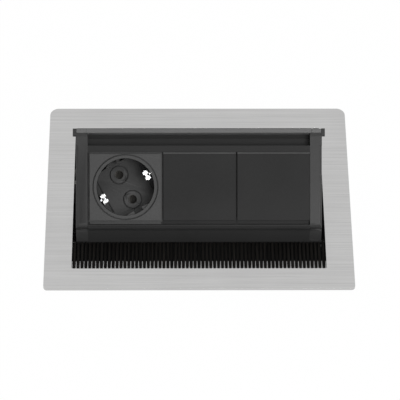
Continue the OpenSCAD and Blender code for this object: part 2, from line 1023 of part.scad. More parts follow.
module cover_screws() {
    color("gray")
        in_face()
            for (x = cover_x, s = cover_s)
                translate([x, s, -box_d - cover_t])
                    screw_up(cover_t + screw_bite);
}

// Face plate with tabs and a rear skirt, centred on the module's own middle
module module_shell() {
    n_face = -module_set;
    n_back = -ledge_n;
    skirt_h = 2 * ledge_s - 0.6;
    block(-module_w / 2, module_w / 2, -row_top, row_top, n_back, n_face);
    block(-module_w / 2, module_w / 2, -row_top - module_tab, row_top + module_tab,
          n_back, n_back + tab_t);
    difference() {
        block(-module_w / 2, module_w / 2, -skirt_h / 2, skirt_h / 2, -module_skirt, n_back);
        block(module_wall - module_w / 2, module_w / 2 - module_wall,
              module_wall - skirt_h / 2, skirt_h / 2 - module_wall, -module_skirt - 1, n_back);
    }
}

module blank(column) {
    color([0.2, 0.2, 0.21])
        in_face()
            translate([column * pitch + row_shift, 0, 0])
                module_shell();
}

// Puts the socket's own frame in place: its pins lie along its Y axis
module in_socket() {
    in_face()
        translate([row_shift - pitch, 0, 0])
            children();
}

module socket_bezel() {
    color([0.26, 0.26, 0.27])
        in_socket()
            difference() {
                module_shell();
                translate([0, 0, -rim_t])
                    cylinder(r = rim_r + seat_gap, h = rim_t + 1);
                translate([0, 0, -module_skirt - 1])
                    cylinder(r = cup_r + seat_gap, h = module_skirt + 2);
            }
}

// The cup with its pin holes, bosses, guide ribs and clip pockets
module socket_insert() {
    floor_n = -recess_d;
    color([0.24, 0.24, 0.25])
        in_socket()
            rotate(socket_turn)
                difference() {
                    union() {
                        translate([0, 0, -rim_t])
                            cylinder(r = rim_r, h = rim_t);
                        translate([0, 0, insert_low])
                            cylinder(r = cup_r, h = -insert_low - eps);
                    }
                    difference() {
                        translate([0, 0, floor_n])
                            cylinder(r = recess_r, h = recess_d + 1);
                        for (y = [-1, 1])
                            translate([0, y * pin_pitch / 2, floor_n - 1])
                                cylinder(r = pin_boss_r, h = 1 + pin_boss_h);
                        guide_ribs(floor_n);
                    }
                    for (y = [-1, 1])
                        translate([0, y * pin_pitch / 2, insert_low - 1])
                            cylinder(r = pin_hole_r, h = 30);
                    for (a = [0, 180])
                        rotate(a)
                            clip_pocket(floor_n);
                }
}

// Two pairs of upright ribs, one pair at each end of the pin axis
module guide_ribs(floor_n) {
    mid = (rib_gap + rib_w) / 2;
    for (a = [90, 270])
        rotate(a)
            for (y = [-mid, mid])
                block(rib_reach, recess_r + 0.5, y - rib_w / 2, y + rib_w / 2, floor_n - 1, -2);
}

// The pocket round an earth clip: a niche in the wall, a lower floor and a slot through it
module clip_pocket(floor_n) {
    half = clip_w / 2 + 0.3;
    block(recess_r - 1, recess_r + 0.7, -half, half, floor_n - pocket_d, -2.5);
    block(clip_leg_x - 0.3, clip_leg_x + clip_t + 0.3, -half, half, insert_low - 1, floor_n + 1);
    translate([0, 0, floor_n - pocket_d])
        linear_extrude(pocket_d + 0.5)
            intersection() {
                circle(recess_r - 0.2);
                span(pocket_reach, recess_r + 1, -recess_r, recess_r);
            }
}

// One strip of spring metal: a bridge under the cup and a forked clip at each side
module earth_clip() {
    color([0.85, 0.85, 0.87])
        in_socket()
            rotate(socket_turn)
                union() {
                    block(-clip_leg_x - clip_t, clip_leg_x + clip_t, -clip_w / 2, clip_w / 2,
                          strap_n - clip_t, strap_n);
                    for (a = [0, 180])
                        rotate(a)
                            clip_arm();
                }
}

// One arm: upright leg and a strip bent over and back down that grips the plug, slit along its middle
module clip_arm() {
    r = clip_reach;
    leg = clip_leg_x;
    difference() {
        union() {
            block(leg, leg + clip_t, -clip_w / 2, clip_w / 2, strap_n - clip_t, -9);
            translate([0, clip_w / 2, 0])
                rotate([90, 0, 0])
                    linear_extrude(clip_w)
                        polygon([
                            [leg, -10], [leg + clip_t, -10], [leg + clip_t, -8.6],
                            [r + 2.7, -5], [r + 2.1, -4], [r + 0.7, -3.8], [r, -4.8],
                            [r + 0.5, -9.6], [r + 1.6, -12], [r + 2.3, -11.6],
                            [r + 1.3, -9.4], [r + 0.9, -5.3], [r + 1.7, -5], [leg, -8.8]
                        ]);
        }
        block(0, recess_r + 2, -clip_slit / 2, clip_slit / 2, -9, 0);
    }
}

// A split sleeve for one plug pin
module contact(y) {
    r_out = sleeve_r + sleeve_wall;
    low = base_floor + 1 - base_d;
    color([0.8, 0.65, 0.3])
        in_socket()
            rotate(socket_turn)
                translate([0, y * pin_pitch / 2, 0]) {
                    difference() {
                        translate([0, 0, low])
                            cylinder(r = r_out, h = insert_low - contact_drop - low);
                        translate([0, 0, low + 1])
                            cylinder(r = sleeve_r, h = base_d);
                        block(-0.4, 0.4, -r_out - 1, r_out + 1, low + 7, 0);
                    }
                }
}

// The three terminal screws at the back of the socket
module terminal_screws() {
    color("silver")
        in_socket()
            at_terminals()
                screw_up(4, screw_r, 2.4, 1.4);
}

// The rear body: a box that closes the module, with a pedestal for the contacts
module socket_base() {
    h = 2 * ledge_s - 0.6;
    r_hole = sleeve_r + sleeve_wall + 0.1;
    color([0.85, 0.85, 0.82])
        in_socket()
            difference() {
                union() {
                    difference() {
                        block(-module_w / 2, module_w / 2, -h / 2, h / 2,
                              -base_d, -module_skirt - seat_gap);
                        block(module_wall - module_w / 2, module_w / 2 - module_wall,
                              module_wall - h / 2, h / 2 - module_wall, base_floor - base_d, 0);
                    }
                    translate([0, 0, 1 - base_d])
                        cylinder(r = pedestal_r, h = base_d - 1 + pedestal_n);
                    at_terminals()
                        translate([0, 0, 1])
                            cylinder(r = 2 * screw_r, h = 6);
                }
                translate([0, 0, insert_low - seat_gap])
                    cylinder(r = cup_r + seat_gap, h = base_d);
                rotate(socket_turn)
                    for (y = [-1, 1])
                        translate([0, y * pin_pitch / 2, base_floor + 1 - base_d])
                            cylinder(r = r_hole, h = base_d);
                at_terminals()
                    translate([0, 0, -1])
                        cylinder(r = screw_r + run_play, h = 6);
            }
}

// The places of the terminal screws on the rear body's outer face
module at_terminals() {
    for (x = [-terminal_pitch, 0, terminal_pitch])
        translate([x, -terminal_drop, -base_d])
            children();
}

// Puts the gland's own frame in place: its axis up, the cover's outer face at z = 0
module in_gland() {
    in_face()
        translate([gland_x, 0, -box_d - cover_t])
            rotate([180, 0, 0])
                children();
}

module gland_body() {
    color([0.1, 0.1, 0.11])
        in_gland()
            difference() {
                union() {
                    cylinder(r = gland_hex_r, h = gland_hex_h, $fn = 6);
                    translate([0, 0, -cover_t - locknut_h - 1])
                        cylinder(r = gland_r, h = cover_t + locknut_h + 1 + eps);
                    cylinder(r = gland_neck_r, h = gland_neck_h);
                }
                translate([0, 0, -cover_t - locknut_h - 2])
                    cylinder(r = gland_bore_r, h = far);
            }
}

module gland_locknut() {
    color([0.1, 0.1, 0.11])
        in_gland()
            difference() {
                translate([0, 0, -cover_t - locknut_h])
                    cylinder(r = gland_hex_r, h = locknut_h, $fn = 6);
                translate([0, 0, -cover_t - locknut_h - 1])
                    cylinder(r = gland_r + run_play, h = locknut_h + 2);
            }
}

module gland_nut() {
    color([0.1, 0.1, 0.11])
        in_gland()
            difference() {
                union() {
                    translate([0, 0, gland_hex_h + seat_gap])
                        cylinder(r = gland_cap_r, h = gland_cap_h);
                    translate([0, 0, gland_cap_top])
                        cylinder(r1 = gland_cap_r, r2 = cord_r + 2.4, h = gland_cone_h);
                }
                translate([0, 0, gland_hex_h - 1])
                    cylinder(r = gland_neck_r + run_play, h = gland_cap_h);
                translate([0, 0, gland_hex_h - 1])
                    cylinder(r = cord_r + 0.4, h = far);
            }
}

// The rubber ring that grips the supply cord
module gland_seal() {
    color([0.2, 0.2, 0.2])
        in_gland()
            difference() {
                translate([0, 0, 1])
                    cylinder(r = gland_bore_r - run_play, h = gland_neck_h);
                cylinder(r = cord_r, h = far);
            }
}

frame_plate();
housing();
frame_screws();
brush_holder();
brush_strip();
pivot_pin("left");  // pivot_pin_left
pivot_pin("right");  // pivot_pin_right
friction_washer("left");  // friction_washer_left
friction_washer("right");  // friction_washer_right
spring_washer("left");  // spring_washer_left
spring_washer("right");  // spring_washer_right
pivot_nut("left");  // pivot_nut_left
pivot_nut("right");  // pivot_nut_right
stop_pin("left");  // stop_pin_left
stop_pin("right");  // stop_pin_right
clamp("left");  // clamp_left
clamp("right");  // clamp_right
clamp_screws();
clamp_nuts();
lid_panel();
lid_end("left");  // lid_end_left
lid_end("right");  // lid_end_right
lid_screws();
upper_rail();
lower_rail();
end_cap("left");  // end_cap_left
end_cap("right");  // end_cap_right
end_cap_screws();
pivot_bush("left");  // pivot_bush_left
pivot_bush("right");  // pivot_bush_right
carrier_cover();
cover_screws();
socket_bezel();
socket_insert();
earth_clip();
contact(-1);  // contact_left
contact(1);  // contact_right
terminal_screws();
socket_base();
blank(0);  // blank_centre
blank(1);  // blank_right
gland_body();
gland_nut();
gland_locknut();
gland_seal();
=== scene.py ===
import json
import logging
import math
import random
from dataclasses import dataclass
from enum import Enum
from typing import Callable, Dict, List, Optional, Sequence, Tuple, Union

import bmesh
import bpy
from mathutils import Matrix, Vector


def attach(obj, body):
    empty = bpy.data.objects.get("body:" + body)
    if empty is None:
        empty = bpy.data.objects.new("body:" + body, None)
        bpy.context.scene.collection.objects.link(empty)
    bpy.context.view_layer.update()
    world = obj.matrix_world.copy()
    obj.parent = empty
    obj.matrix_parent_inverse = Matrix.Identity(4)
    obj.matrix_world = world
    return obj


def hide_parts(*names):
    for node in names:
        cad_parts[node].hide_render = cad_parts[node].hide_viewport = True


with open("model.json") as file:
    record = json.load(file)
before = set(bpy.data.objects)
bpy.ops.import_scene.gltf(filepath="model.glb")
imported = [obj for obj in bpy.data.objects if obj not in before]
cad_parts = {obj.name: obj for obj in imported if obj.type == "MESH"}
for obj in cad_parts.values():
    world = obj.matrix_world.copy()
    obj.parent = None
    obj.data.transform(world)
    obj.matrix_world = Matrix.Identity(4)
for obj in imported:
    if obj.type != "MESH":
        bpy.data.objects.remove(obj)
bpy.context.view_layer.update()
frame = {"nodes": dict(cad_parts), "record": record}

MM = 0.001
WHITE = (1.0, 1.0, 1.0, 1.0)

# Which edges count as sharp, as smooth and as none, and where doubles are merged, in metres.
SHARP_ANGLE = math.radians(35.0)
SMOOTH_ANGLE = math.radians(32.0)
FLAT_ANGLE = math.radians(1.0)
MERGE_GAP = 0.000004
FACE_WEIGHT = 100
# How near to a limit, in millimetres, an edge still counts as at it.
NEAR = 0.1
SIDES = 64
FINE_SIDES = 128

Pair = Tuple[float, float]
Triple = Tuple[float, float, float]
Colour = Triple
Point = Sequence[float]
Piece = bpy.types.Object
FaceTest = Callable[[Vector, Vector], bool]
EdgeTest = Callable[[Vector, Vector], bool]
Settings = Dict[str, object]
Inputs = Dict[Union[int, str], object]

log = logging.getLogger("power_module")


class Body(Enum):
    """The two bodies of the object."""

    HOUSING = "fixed_housing"
    UNIT = "tilting_unit"


class Axis(Enum):
    """A direction that a finish runs in."""

    X = 0
    Y = 1
    Z = 2


class Wire:
    """A shader socket or number that takes part in Python arithmetic."""

    def __init__(self, board: "Board", source: object) -> None:
        """Keeps the socket and the board that it is on."""
        self.board = board
        self.source = source

    def _math(self, operation: str, first: object, second: object) -> "Wire":
        """Returns the value of a Math node on two operands."""
        return self.board.wire("ShaderNodeMath", {"operation": operation}, {0: first, 1: second})

    def __add__(self, other: object) -> "Wire":
        """Returns this plus other."""
        return self._math("ADD", self, other)

    def __radd__(self, other: object) -> "Wire":
        """Returns other plus this."""
        return self._math("ADD", other, self)

    def __sub__(self, other: object) -> "Wire":
        """Returns this minus other."""
        return self._math("SUBTRACT", self, other)

    def __rsub__(self, other: object) -> "Wire":
        """Returns other minus this."""
        return self._math("SUBTRACT", other, self)

    def __mul__(self, other: object) -> "Wire":
        """Returns this times other."""
        return self._math("MULTIPLY", self, other)

    def __rmul__(self, other: object) -> "Wire":
        """Returns other times this."""
        return self._math("MULTIPLY", other, self)

    def cosine(self) -> "Wire":
        """Returns the cosine of this."""
        return self._math("COSINE", self, 0.0)

    def smooth(self, low: float, high: float) -> "Wire":
        """Returns this with low mapped to 0 and high to 1 by a smooth step."""
        return self.board.wire(
            "ShaderNodeMapRange",
            {"interpolation_type": "SMOOTHSTEP"},
            {"Value": self, "From Min": low, "From Max": high},
        )


class Board:
    """The node tree of a material or world, with short calls for what is used."""

    def __init__(self, owner: Union[bpy.types.Material, bpy.types.World]) -> None:
        """Empties a node tree.

        Args:
            owner: The material or world that it belongs to.
        """
        self.owner = owner
        owner.use_nodes = True
        self.tree = owner.node_tree
        self.tree.nodes.clear()
        self._place: Optional[Wire] = None

    def add(self, kind: str, settings: Settings, inputs: Inputs) -> bpy.types.Node:
        """Adds a node.

        Args:
            kind: The node's type.
            settings: Attributes that are set first.
            inputs: Values, or links as Wire, for its sockets by name or number.

        Returns:
            The node.
        """
        node = self.tree.nodes.new(kind)
        for key, value in settings.items():
            setattr(node, key, value)
        for key, value in inputs.items():
            socket = node.inputs[key]
            if isinstance(value, Wire):
                self.tree.links.new(value.source, socket)
            else:
                socket.default_value = value
        return node

    def wire(self, kind: str, settings: Settings, inputs: Inputs,
             output: Union[int, str] = 0) -> Wire:
        """Adds a node as add does, and returns one of its outputs."""
        return Wire(self, self.add(kind, settings, inputs).outputs[output])

    def place(self) -> Wire:
        """Returns the Object coordinates."""
        if self._place is None:
            self._place = self.wire("ShaderNodeTexCoord", {}, {}, "Object")
        return self._place

    def stretched(self, scale: Union[float, Point]) -> Wire:
        """Returns the Object coordinates times one scale, or one for each axis."""
        scales = (scale, scale, scale) if isinstance(scale, (int, float)) else tuple(scale)
        return self.wire(
            "ShaderNodeVectorMath", {"operation": "MULTIPLY"}, {0: self.place(), 1: scales}
        )

    def noise(self, scale: Union[float, Point], detail: float = 3.0, rough: float = 0.55) -> Wire:
        """Returns noise from 0 to 1.

        Args:
            scale: Features to the metre, as one number or for each axis.
            detail: Octaves.
            rough: Weight of the finer octaves.

        Returns:
            The noise factor.
        """
        vector = self.stretched(scale)
        return self.wire("ShaderNodeTexNoise", {}, {
            "Vector": vector, "Scale": 1.0, "Detail": detail, "Roughness": rough,
        })

    def cells(self, scale: float) -> Wire:
        """Returns a random number for each cell of a cell pattern."""
        shade = self.wire(
            "ShaderNodeTexVoronoi", {}, {"Vector": self.stretched(scale), "Scale": 1.0}, "Color"
        )
        return self.wire("ShaderNodeSeparateColor", {}, {0: shade})

    def axis(self, which: Axis) -> Wire:
        """Returns one of the Object coordinates."""
        return self.wire("ShaderNodeSeparateXYZ", {}, {0: self.place()}, which.value)

    def blend(self, factor: object, first: object, second: object) -> Wire:
        """Returns a mix of two colours or links: factor 0 is the first and 1 the second."""
        sides = [c if isinstance(c, Wire) else (*c, 1.0) for c in (first, second)]
        return self.wire(
            "ShaderNodeMix",
            {"data_type": "RGBA", "blend_type": "MIX"},
            {0: factor, 6: sides[0], 7: sides[1]},
            2,
        )

    def bump(self, height: Wire, distance: float, strength: float) -> Wire:
        """Returns a normal bent by a height, where 1 is the distance in metres."""
        inputs: Inputs = {"Height": height, "Distance": distance, "Strength": strength}
        return self.wire("ShaderNodeBump", {}, inputs)

    def surface(self, inputs: Inputs) -> bpy.types.Material:
        """Ends the tree with the main shader.

        Args:
            inputs: Its sockets' values or links.

        Returns:
            The material.
        """
        shader = self.wire("ShaderNodeBsdfPrincipled", {}, inputs)
        self.add("ShaderNodeOutputMaterial", {}, {0: shader})
        return self.owner

    def shown(self) -> Wire:
        """Tells what is seen from what only lights.

        Returns:
            1 for what the camera or a shiny surface sees, and 0 for diffuse light.
        """
        path = self.add("ShaderNodeLightPath", {}, {}).outputs
        first = Wire(self, path["Is Camera Ray"]) + Wire(self, path["Is Glossy Ray"])
        last = Wire(self, path["Is Transmission Ray"])
        return self.wire(
            "ShaderNodeMath", {"operation": "ADD", "use_clamp": True}, {0: first, 1: last}
        )


def grey(value: float, warm: float = 0.0) -> Colour:
    """Returns the linear near-grey of a picture level, with red raised by the share warm."""
    level = ((value / 255 + 0.055) / 1.055) ** 2.4
    return (level * (1 + warm), level, level * (1 - warm))


def darker(colour: Colour, share: float) -> Colour:
    """Returns a share of a linear colour."""
    return tuple(c * share for c in colour)


class Finish:
    """A look that is put on pieces as a material."""

    def dress(self, name: str) -> bpy.types.Material:
        """Returns the finish as a material of that name."""
        board = Board(bpy.data.materials.new(name))
        return board.surface(self.looks(board))

    def looks(self, board: Board) -> Inputs:
        """Works out what the main shader gets.

        Args:
            board: The board of the nodes.

        Returns:
            The values and links.
        """
        raise NotImplementedError


@dataclass(frozen=True)
class BrushedSteel(Finish):
    """Stainless steel, brushed in one direction.

    Scales are features to the metre, and levels are those of a picture.
    """

    level: float = 189.0
    rough: float = 0.15
    spread: float = 9.0
    along: Axis = Axis.X
    fineness: float = 5200.0
    fine_run: float = 22.0
    breadth: float = 620.0
    broad_run: float = 9.0
    scratch: float = 0.00001
    warm: float = 0.004

    def looks(self, board: Board) -> Inputs:
        """Works out what the main shader gets.

        Args:
            board: The board of the nodes.

        Returns:
            The values and links.
        """
        fine = [self.fineness] * 3
        fine[self.along.value] = self.fine_run
        broad = [self.breadth] * 3
        broad[self.along.value] = self.broad_run
        streaks = board.noise(fine, 4.0, 0.6)
        bands = board.noise(broad, 2.0)
        cloud = board.noise(26.0, 3.0)
        lines = board.noise([c * 0.35 for c in fine], 1.0)
        mark = lines.smooth(0.69, 0.75)
        tone = streaks * 0.55 + bands * 0.3 + cloud * 0.15
        low = grey(self.level - self.spread, self.warm)
        high = grey(self.level + self.spread, self.warm)
        colour = board.blend(tone.smooth(0.3, 0.72), low, high)
        colour = board.blend(mark * 0.3, colour, grey(self.level + 3 * self.spread))
        rough = streaks * 0.08 + cloud * 0.04 + (self.rough - 0.06)
        height = streaks * 0.8 + bands * 0.2 + mark * 0.4
        return {
            "Base Color": colour,
            "Metallic": 1.0,
            "Roughness": rough,
            "Normal": board.bump(height, self.scratch, 0.35),
        }


@dataclass(frozen=True)
class GrainedPlastic(Finish):
    """Moulded plastic with a spark-eroded or sandblasted grain."""

    level: float = 56.0
    rough: float = 0.55
    grain: float = 2600.0
    depth: float = 0.00004
    speckle: float = 5.0
    shine: float = 0.18

    def looks(self, board: Board) -> Inputs:
        """Works out what the main shader gets.

        Args:
            board: The board of the nodes.

        Returns:
            The values and links.
        """
        pits = board.noise(self.grain, 4.0, 0.65)
        coarse = board.noise(self.grain * 0.35, 2.0)
        cloud = board.noise(42.0, 3.0)
        handled = board.noise(13.0, 2.0).smooth(0.42, 0.66)
        tone = pits * 0.6 + coarse * 0.25 + cloud * 0.15
        low, high = grey(self.level - self.speckle), grey(self.level + self.speckle)
        colour = board.blend(tone.smooth(0.34, 0.66), low, high)
        flecks = pits.smooth(0.66, 0.74)
        colour = board.blend(flecks * 0.5, colour, grey(self.level + 3.2 * self.speckle))
        rough = self.rough + pits * 0.16 - handled * 0.07 - 0.05
        height = pits * 0.7 + coarse * 0.3
        return {
            "Base Color": colour,
            "Roughness": rough,
            "Specular IOR Level": self.shine,
            "Normal": board.bump(height, self.depth, 0.5),
        }


@dataclass(frozen=True)
class PaintedMetal(Finish):
    """Powder coat or anodised metal, with faint draw lines along X where asked."""

    level: float = 50.0
    rough: float = 0.5
    peel: float = 1500.0
    draw: float = 0.0
    spread: float = 4.0
    shine: float = 0.18

    def looks(self, board: Board) -> Inputs:
        """Works out what the main shader gets.

        Args:
            board: The board of the nodes.

        Returns:
            The values and links.
        """
        peel = board.noise(self.peel, 3.0, 0.5)
        drawn = board.noise((14.0, 3400.0, 3400.0), 3.0, 0.6)
        cloud = board.noise(30.0, 3.0)
        tone = peel * (0.7 - 0.4 * self.draw) + drawn * (0.4 * self.draw) + cloud * 0.3
        low, high = grey(self.level - self.spread), grey(self.level + self.spread)
        colour = board.blend(tone.smooth(0.36, 0.64), low, high)
        worn = board.noise(700.0, 2.0).smooth(0.72, 0.78)
        colour = board.blend(worn * 0.25, colour, grey(self.level + 30))
        height = peel * (1 - 0.6 * self.draw) + drawn * (0.6 * self.draw)
        return {
            "Base Color": colour,
            "Roughness": peel * 0.12 + cloud * 0.06 + (self.rough - 0.09),
            "Specular IOR Level": self.shine,
            "Normal": board.bump(height, 0.00004, 0.4),
        }


@dataclass(frozen=True)
class PlatedSteel(Finish):
    """Zinc or nickel plate over turned or pressed metal."""

    colour: Colour = (0.52, 0.53, 0.55)
    tint: Colour = (0.50, 0.53, 0.62)
    rough: float = 0.3
    flake: float = 900.0

    def looks(self, board: Board) -> Inputs:
        """Works out what the main shader gets.

        Args:
            board: The board of the nodes.

        Returns:
            The values and links.
        """
        flakes = board.cells(self.flake)
        cloud = board.noise(160.0, 3.0)
        fine = board.noise(5200.0, 3.0)
        colour = board.blend(cloud.smooth(0.4, 0.65), self.colour, self.tint)
        colour = board.blend(flakes * 0.25, colour, darker(self.colour, 0.7))
        dull = board.noise(420.0, 4.0, 0.7).smooth(0.58, 0.72)
        return {
            "Base Color": board.blend(dull * 0.4, colour, darker(self.colour, 0.8)),
            "Metallic": 1.0,
            "Roughness": flakes * 0.08 + fine * 0.08 + dull * 0.18 + (self.rough - 0.1),
            "Normal": board.bump(fine * 0.6 + cloud * 0.4, 0.00001, 0.4),
        }


@dataclass(frozen=True)
class NaturalPlastic(Finish):
    """Unpainted pale plastic or rubber, slightly uneven in colour."""

    colour: Colour = (0.72, 0.70, 0.62)
    rough: float = 0.45
    grain: float = 1800.0

    def looks(self, board: Board) -> Inputs:
        """Works out what the main shader gets.

        Args:
            board: The board of the nodes.

        Returns:
            The values and links.
        """
        fine = board.noise(self.grain, 3.0)
        flow = board.noise((90.0, 300.0, 300.0), 2.0)
        dust = board.noise(240.0, 3.0).smooth(0.6, 0.75)
        colour = board.blend(flow.smooth(0.35, 0.65), darker(self.colour, 0.86), self.colour)
        colour = board.blend(dust * 0.2, colour, darker(self.colour, 0.7))
        return {
            "Base Color": colour,
            "Roughness": fine * 0.12 + dust * 0.1 + (self.rough - 0.06),
            "Normal": board.bump(fine, 0.00003, 0.4),
        }


@dataclass(frozen=True)
class NylonBristle(Finish):
    """Black bristles with faint brown-grey streaks that are strongest at each tuft's middle and
    fade toward the gaps between tufts: partly the bristles' own colour, partly a painted highlight
    on the tufts and painted shade between them.
    """

    level: float = 0.5
    light: float = 32.0
    pitch: float = 2.625

    def looks(self, board: Board) -> Inputs:
        """Works out what the main shader gets.

        Args:
            board: The board of the nodes.

        Returns:
            The values and links.
        """
        each = board.noise((2600.0, 30.0, 2600.0), 2.0, 0.7)
        tuft = board.noise((420.0, 24.0, 100.0), 2.0)
        # Painted highlight and shade: a wave at the tuft pitch lightens the middle of each tuft
        # and darkens its bristles toward the gaps between tufts.
        middle = (board.axis(Axis.X) * (2 * math.pi * MM ** -1 / self.pitch)).cosine()
        share = 0.6 + 0.4 * tuft.smooth(0.35, 0.65)
        # The random brown-grey streaks are the bristles' own colour; multiplied by the wave they
        # also carry the painted highlight and shade.
        streak_and_highlight = each.smooth(0.3, 0.7) * share * middle.smooth(-0.7, 0.8)
        colour = board.blend(streak_and_highlight, grey(self.level), grey(self.light, 0.12))
        return {
            "Base Color": colour,
            "Roughness": each * 0.2 + 0.5,
            "Specular IOR Level": 0.08,
            "Normal": board.bump(each, 0.00003, 0.4),
        }


FINISHES: Dict[str, Finish] = {
    "brushed_stainless": BrushedSteel(),
    "black_sheet": PaintedMetal(level=30.0, rough=0.55, peel=1400.0),
    "zinc_steel": PlatedSteel(colour=(0.30, 0.30, 0.31), tint=(0.33, 0.32, 0.28)),
    "ledge_aluminium": BrushedSteel(level=176.0, rough=0.4, fineness=3000.0),
    "bristles": NylonBristle(),
    "nylon": NaturalPlastic(),
    "lid_grey": GrainedPlastic(level=97.0, rough=0.5, grain=3200.0, speckle=3.5),
    "carrier_black": PaintedMetal(
        level=41.0, rough=0.5, peel=2600.0, draw=1.0, spread=2.5, shine=0.08
    ),
    "cap_black": GrainedPlastic(level=48.0, rough=0.45, grain=2400.0, speckle=3.0),
    "module_black": GrainedPlastic(
        level=35.0, rough=0.52, grain=2400.0, speckle=2.5, shine=0.1
    ),
    "socket_black": GrainedPlastic(
        level=69.0, rough=0.5, grain=2800.0, speckle=6.0, depth=0.00005, shine=0.1
    ),
    "clip_nickel": PlatedSteel(
        colour=(0.86, 0.86, 0.85), tint=(0.8, 0.82, 0.86), rough=0.32, flake=300.0
    ),
    # The contacts get a neutral near-black instead of a brass colour: painted shade that stands
    # for the dark inside the pin holes.
    "brass": PlatedSteel(
        colour=(0.048, 0.047, 0.045), tint=(0.055, 0.052, 0.048), rough=0.55
    ),
    "base_grey": NaturalPlastic(colour=(0.52, 0.52, 0.50), rough=0.5),
    "gland_black": GrainedPlastic(level=36.0, rough=0.45, grain=1500.0, speckle=3.0),
    "seal_rubber": NaturalPlastic(colour=(0.03, 0.03, 0.03), rough=0.7),
    "clamp_zinc": PlatedSteel(
        colour=(0.50, 0.51, 0.52), tint=(0.53, 0.52, 0.45), rough=0.36, flake=420.0
    ),
}


class Wardrobe:
    """Makes each finish once and puts it on pieces."""

    def __init__(self) -> None:
        """Starts with no materials made."""
        self.made: Dict[str, bpy.types.Material] = {}

    def material(self, slot: str) -> bpy.types.Material:
        """Returns the material of a slot of the record."""
        if slot not in self.made:
            self.made[slot] = FINISHES[slot].dress("finish_" + slot)
        return self.made[slot]

    def dress(self, piece: Piece, slot: str) -> None:
        """Puts a slot's finish on all of a piece.

        Args:
            piece: The object.
            slot: The record's material slot.
        """
        if not piece.material_slots:
            piece.data.materials.append(None)
        for place in piece.material_slots:
            place.material = self.material(slot)


def upright(a: Vector, b: Vector) -> bool:
    """Tells by its ends, in millimetres, whether an edge stands."""
    return abs(a.z - b.z) > 1


def lengthwise(a: Vector, b: Vector) -> bool:
    """Tells by its ends, in millimetres, whether an edge runs along X."""
    return abs(a.x - b.x) > 1


def sided(side: int, first: float, last: float) -> List[float]:
    """Returns a range on one side of zero, with its lower end first."""
    return sorted((side * first, side * last))


def alone(piece: Piece) -> None:
    """Makes a piece the only selected and active one.

    Args:
        piece: The piece.
    """
    bpy.ops.object.select_all(action="DESELECT")
    piece.select_set(True)
    bpy.context.view_layer.objects.active = piece


def take(name: str) -> Piece:
    """Names the active piece, and settles it.

    Args:
        name: Its name.

    Returns:
        The piece.
    """
    piece = bpy.context.active_object
    piece.name = name
    settle(piece)
    return piece


def link(name: str, data: bpy.types.ID) -> Piece:
    """Makes an object in the scene.

    Args:
        name: Its name.
        data: Its mesh, lamp or camera.

    Returns:
        The object.
    """
    piece = bpy.data.objects.new(name, data)
    bpy.context.scene.collection.objects.link(piece)
    return piece


def cube(name: str, low: Point, high: Point) -> Piece:
    """Adds a box.

    Args:
        name: The piece's name.
        low: Its lowest corner in millimetres.
        high: Its highest corner in millimetres.

    Returns:
        The piece.
    """
    bpy.ops.object.select_all(action="DESELECT")
    centre = (Vector(low) + Vector(high)) / 2 * MM
    size = (Vector(high) - Vector(low)) * MM
    bpy.ops.mesh.primitive_cube_add(size=1, location=centre, scale=size)
    return take(name)


def disc(name: str, radius: float, z0: float, z1: float, y: float = 0.0,
         sides: int = FINE_SIDES) -> Piece:
    """Adds an upright cylinder, with all sizes in millimetres.

    Args:
        name: The piece's name.
        radius: Its radius.
        z0: Its foot's height.
        z1: Its top's height.
        y: Its axis' place in Y. In X it is 0.
        sides: The number of its sides.

    Returns:
        The piece.
    """
    bpy.ops.object.select_all(action="DESELECT")
    bpy.ops.mesh.primitive_cylinder_add(
        vertices=sides,
        radius=radius * MM,
        depth=(z1 - z0) * MM,
        location=(0, y * MM, (z0 + z1) / 2 * MM),
    )
    return take(name)


def settle(piece: Piece) -> None:
    """Moves a piece's place, turn and scale into its mesh."""
    alone(piece)
    bpy.ops.object.transform_apply(location=True, rotation=True, scale=True)


def move(piece: Piece, matrix: Matrix) -> None:
    """Puts a piece in place by a matrix, and that into its mesh.

    Args:
        piece: The piece.
        matrix: From where it was modelled to the shared frame.
    """
    piece.matrix_world = matrix
    bpy.context.view_layer.update()
    settle(piece)


def select(piece: Piece, faces: Optional[FaceTest] = None,
           edges: Optional[EdgeTest] = None) -> int:
    """Goes to edit mode with the faces or edges selected that pass a test.

    Args:
        piece: The piece.
        faces: A test on a face's centre, in millimetres, and its normal.
        edges: A test on an edge's two ends, in millimetres.

    Returns:
        How many were selected.
    """
    alone(piece)
    bpy.ops.object.mode_set(mode="EDIT")
    bpy.ops.mesh.select_mode(type="FACE" if faces else "EDGE")
    bpy.ops.mesh.select_all(action="DESELECT")
    mesh = bmesh.from_edit_mesh(piece.data)
    found: List[Union[bmesh.types.BMFace, bmesh.types.BMEdge]] = []
    if faces:
        found += [f for f in mesh.faces if faces(f.calc_center_median() / MM, f.normal)]
    if edges:
        found += [e for e in mesh.edges if edges(e.verts[0].co / MM, e.verts[1].co / MM)]
    for part in found:
        part.select_set(True)
    bmesh.update_edit_mesh(piece.data)
    return len(found)


def done() -> None:
    """Leaves edit mode."""
    bpy.ops.object.mode_set(mode="OBJECT")


def push(inset: float, rise: float) -> None:
    """Insets the selected face and extrudes the rest along Z, in millimetres."""
    bpy.ops.mesh.inset(thickness=inset * MM)
    bpy.ops.mesh.extrude_region_move(TRANSFORM_OT_translate={"value": (0, 0, rise * MM)})


def round_edges(piece: Piece, edges: EdgeTest, radius: float, steps: int = 3) -> None:
    """Bevels the edges that pass a test.

    Args:
        piece: The piece.
        edges: The test on an edge's ends, in millimetres.
        radius: The bevel's width in millimetres.
        steps: Its segments.
    """
    if select(piece, edges=edges):
        bpy.ops.mesh.bevel(offset=radius * MM, segments=steps, affect="EDGES")
    done()


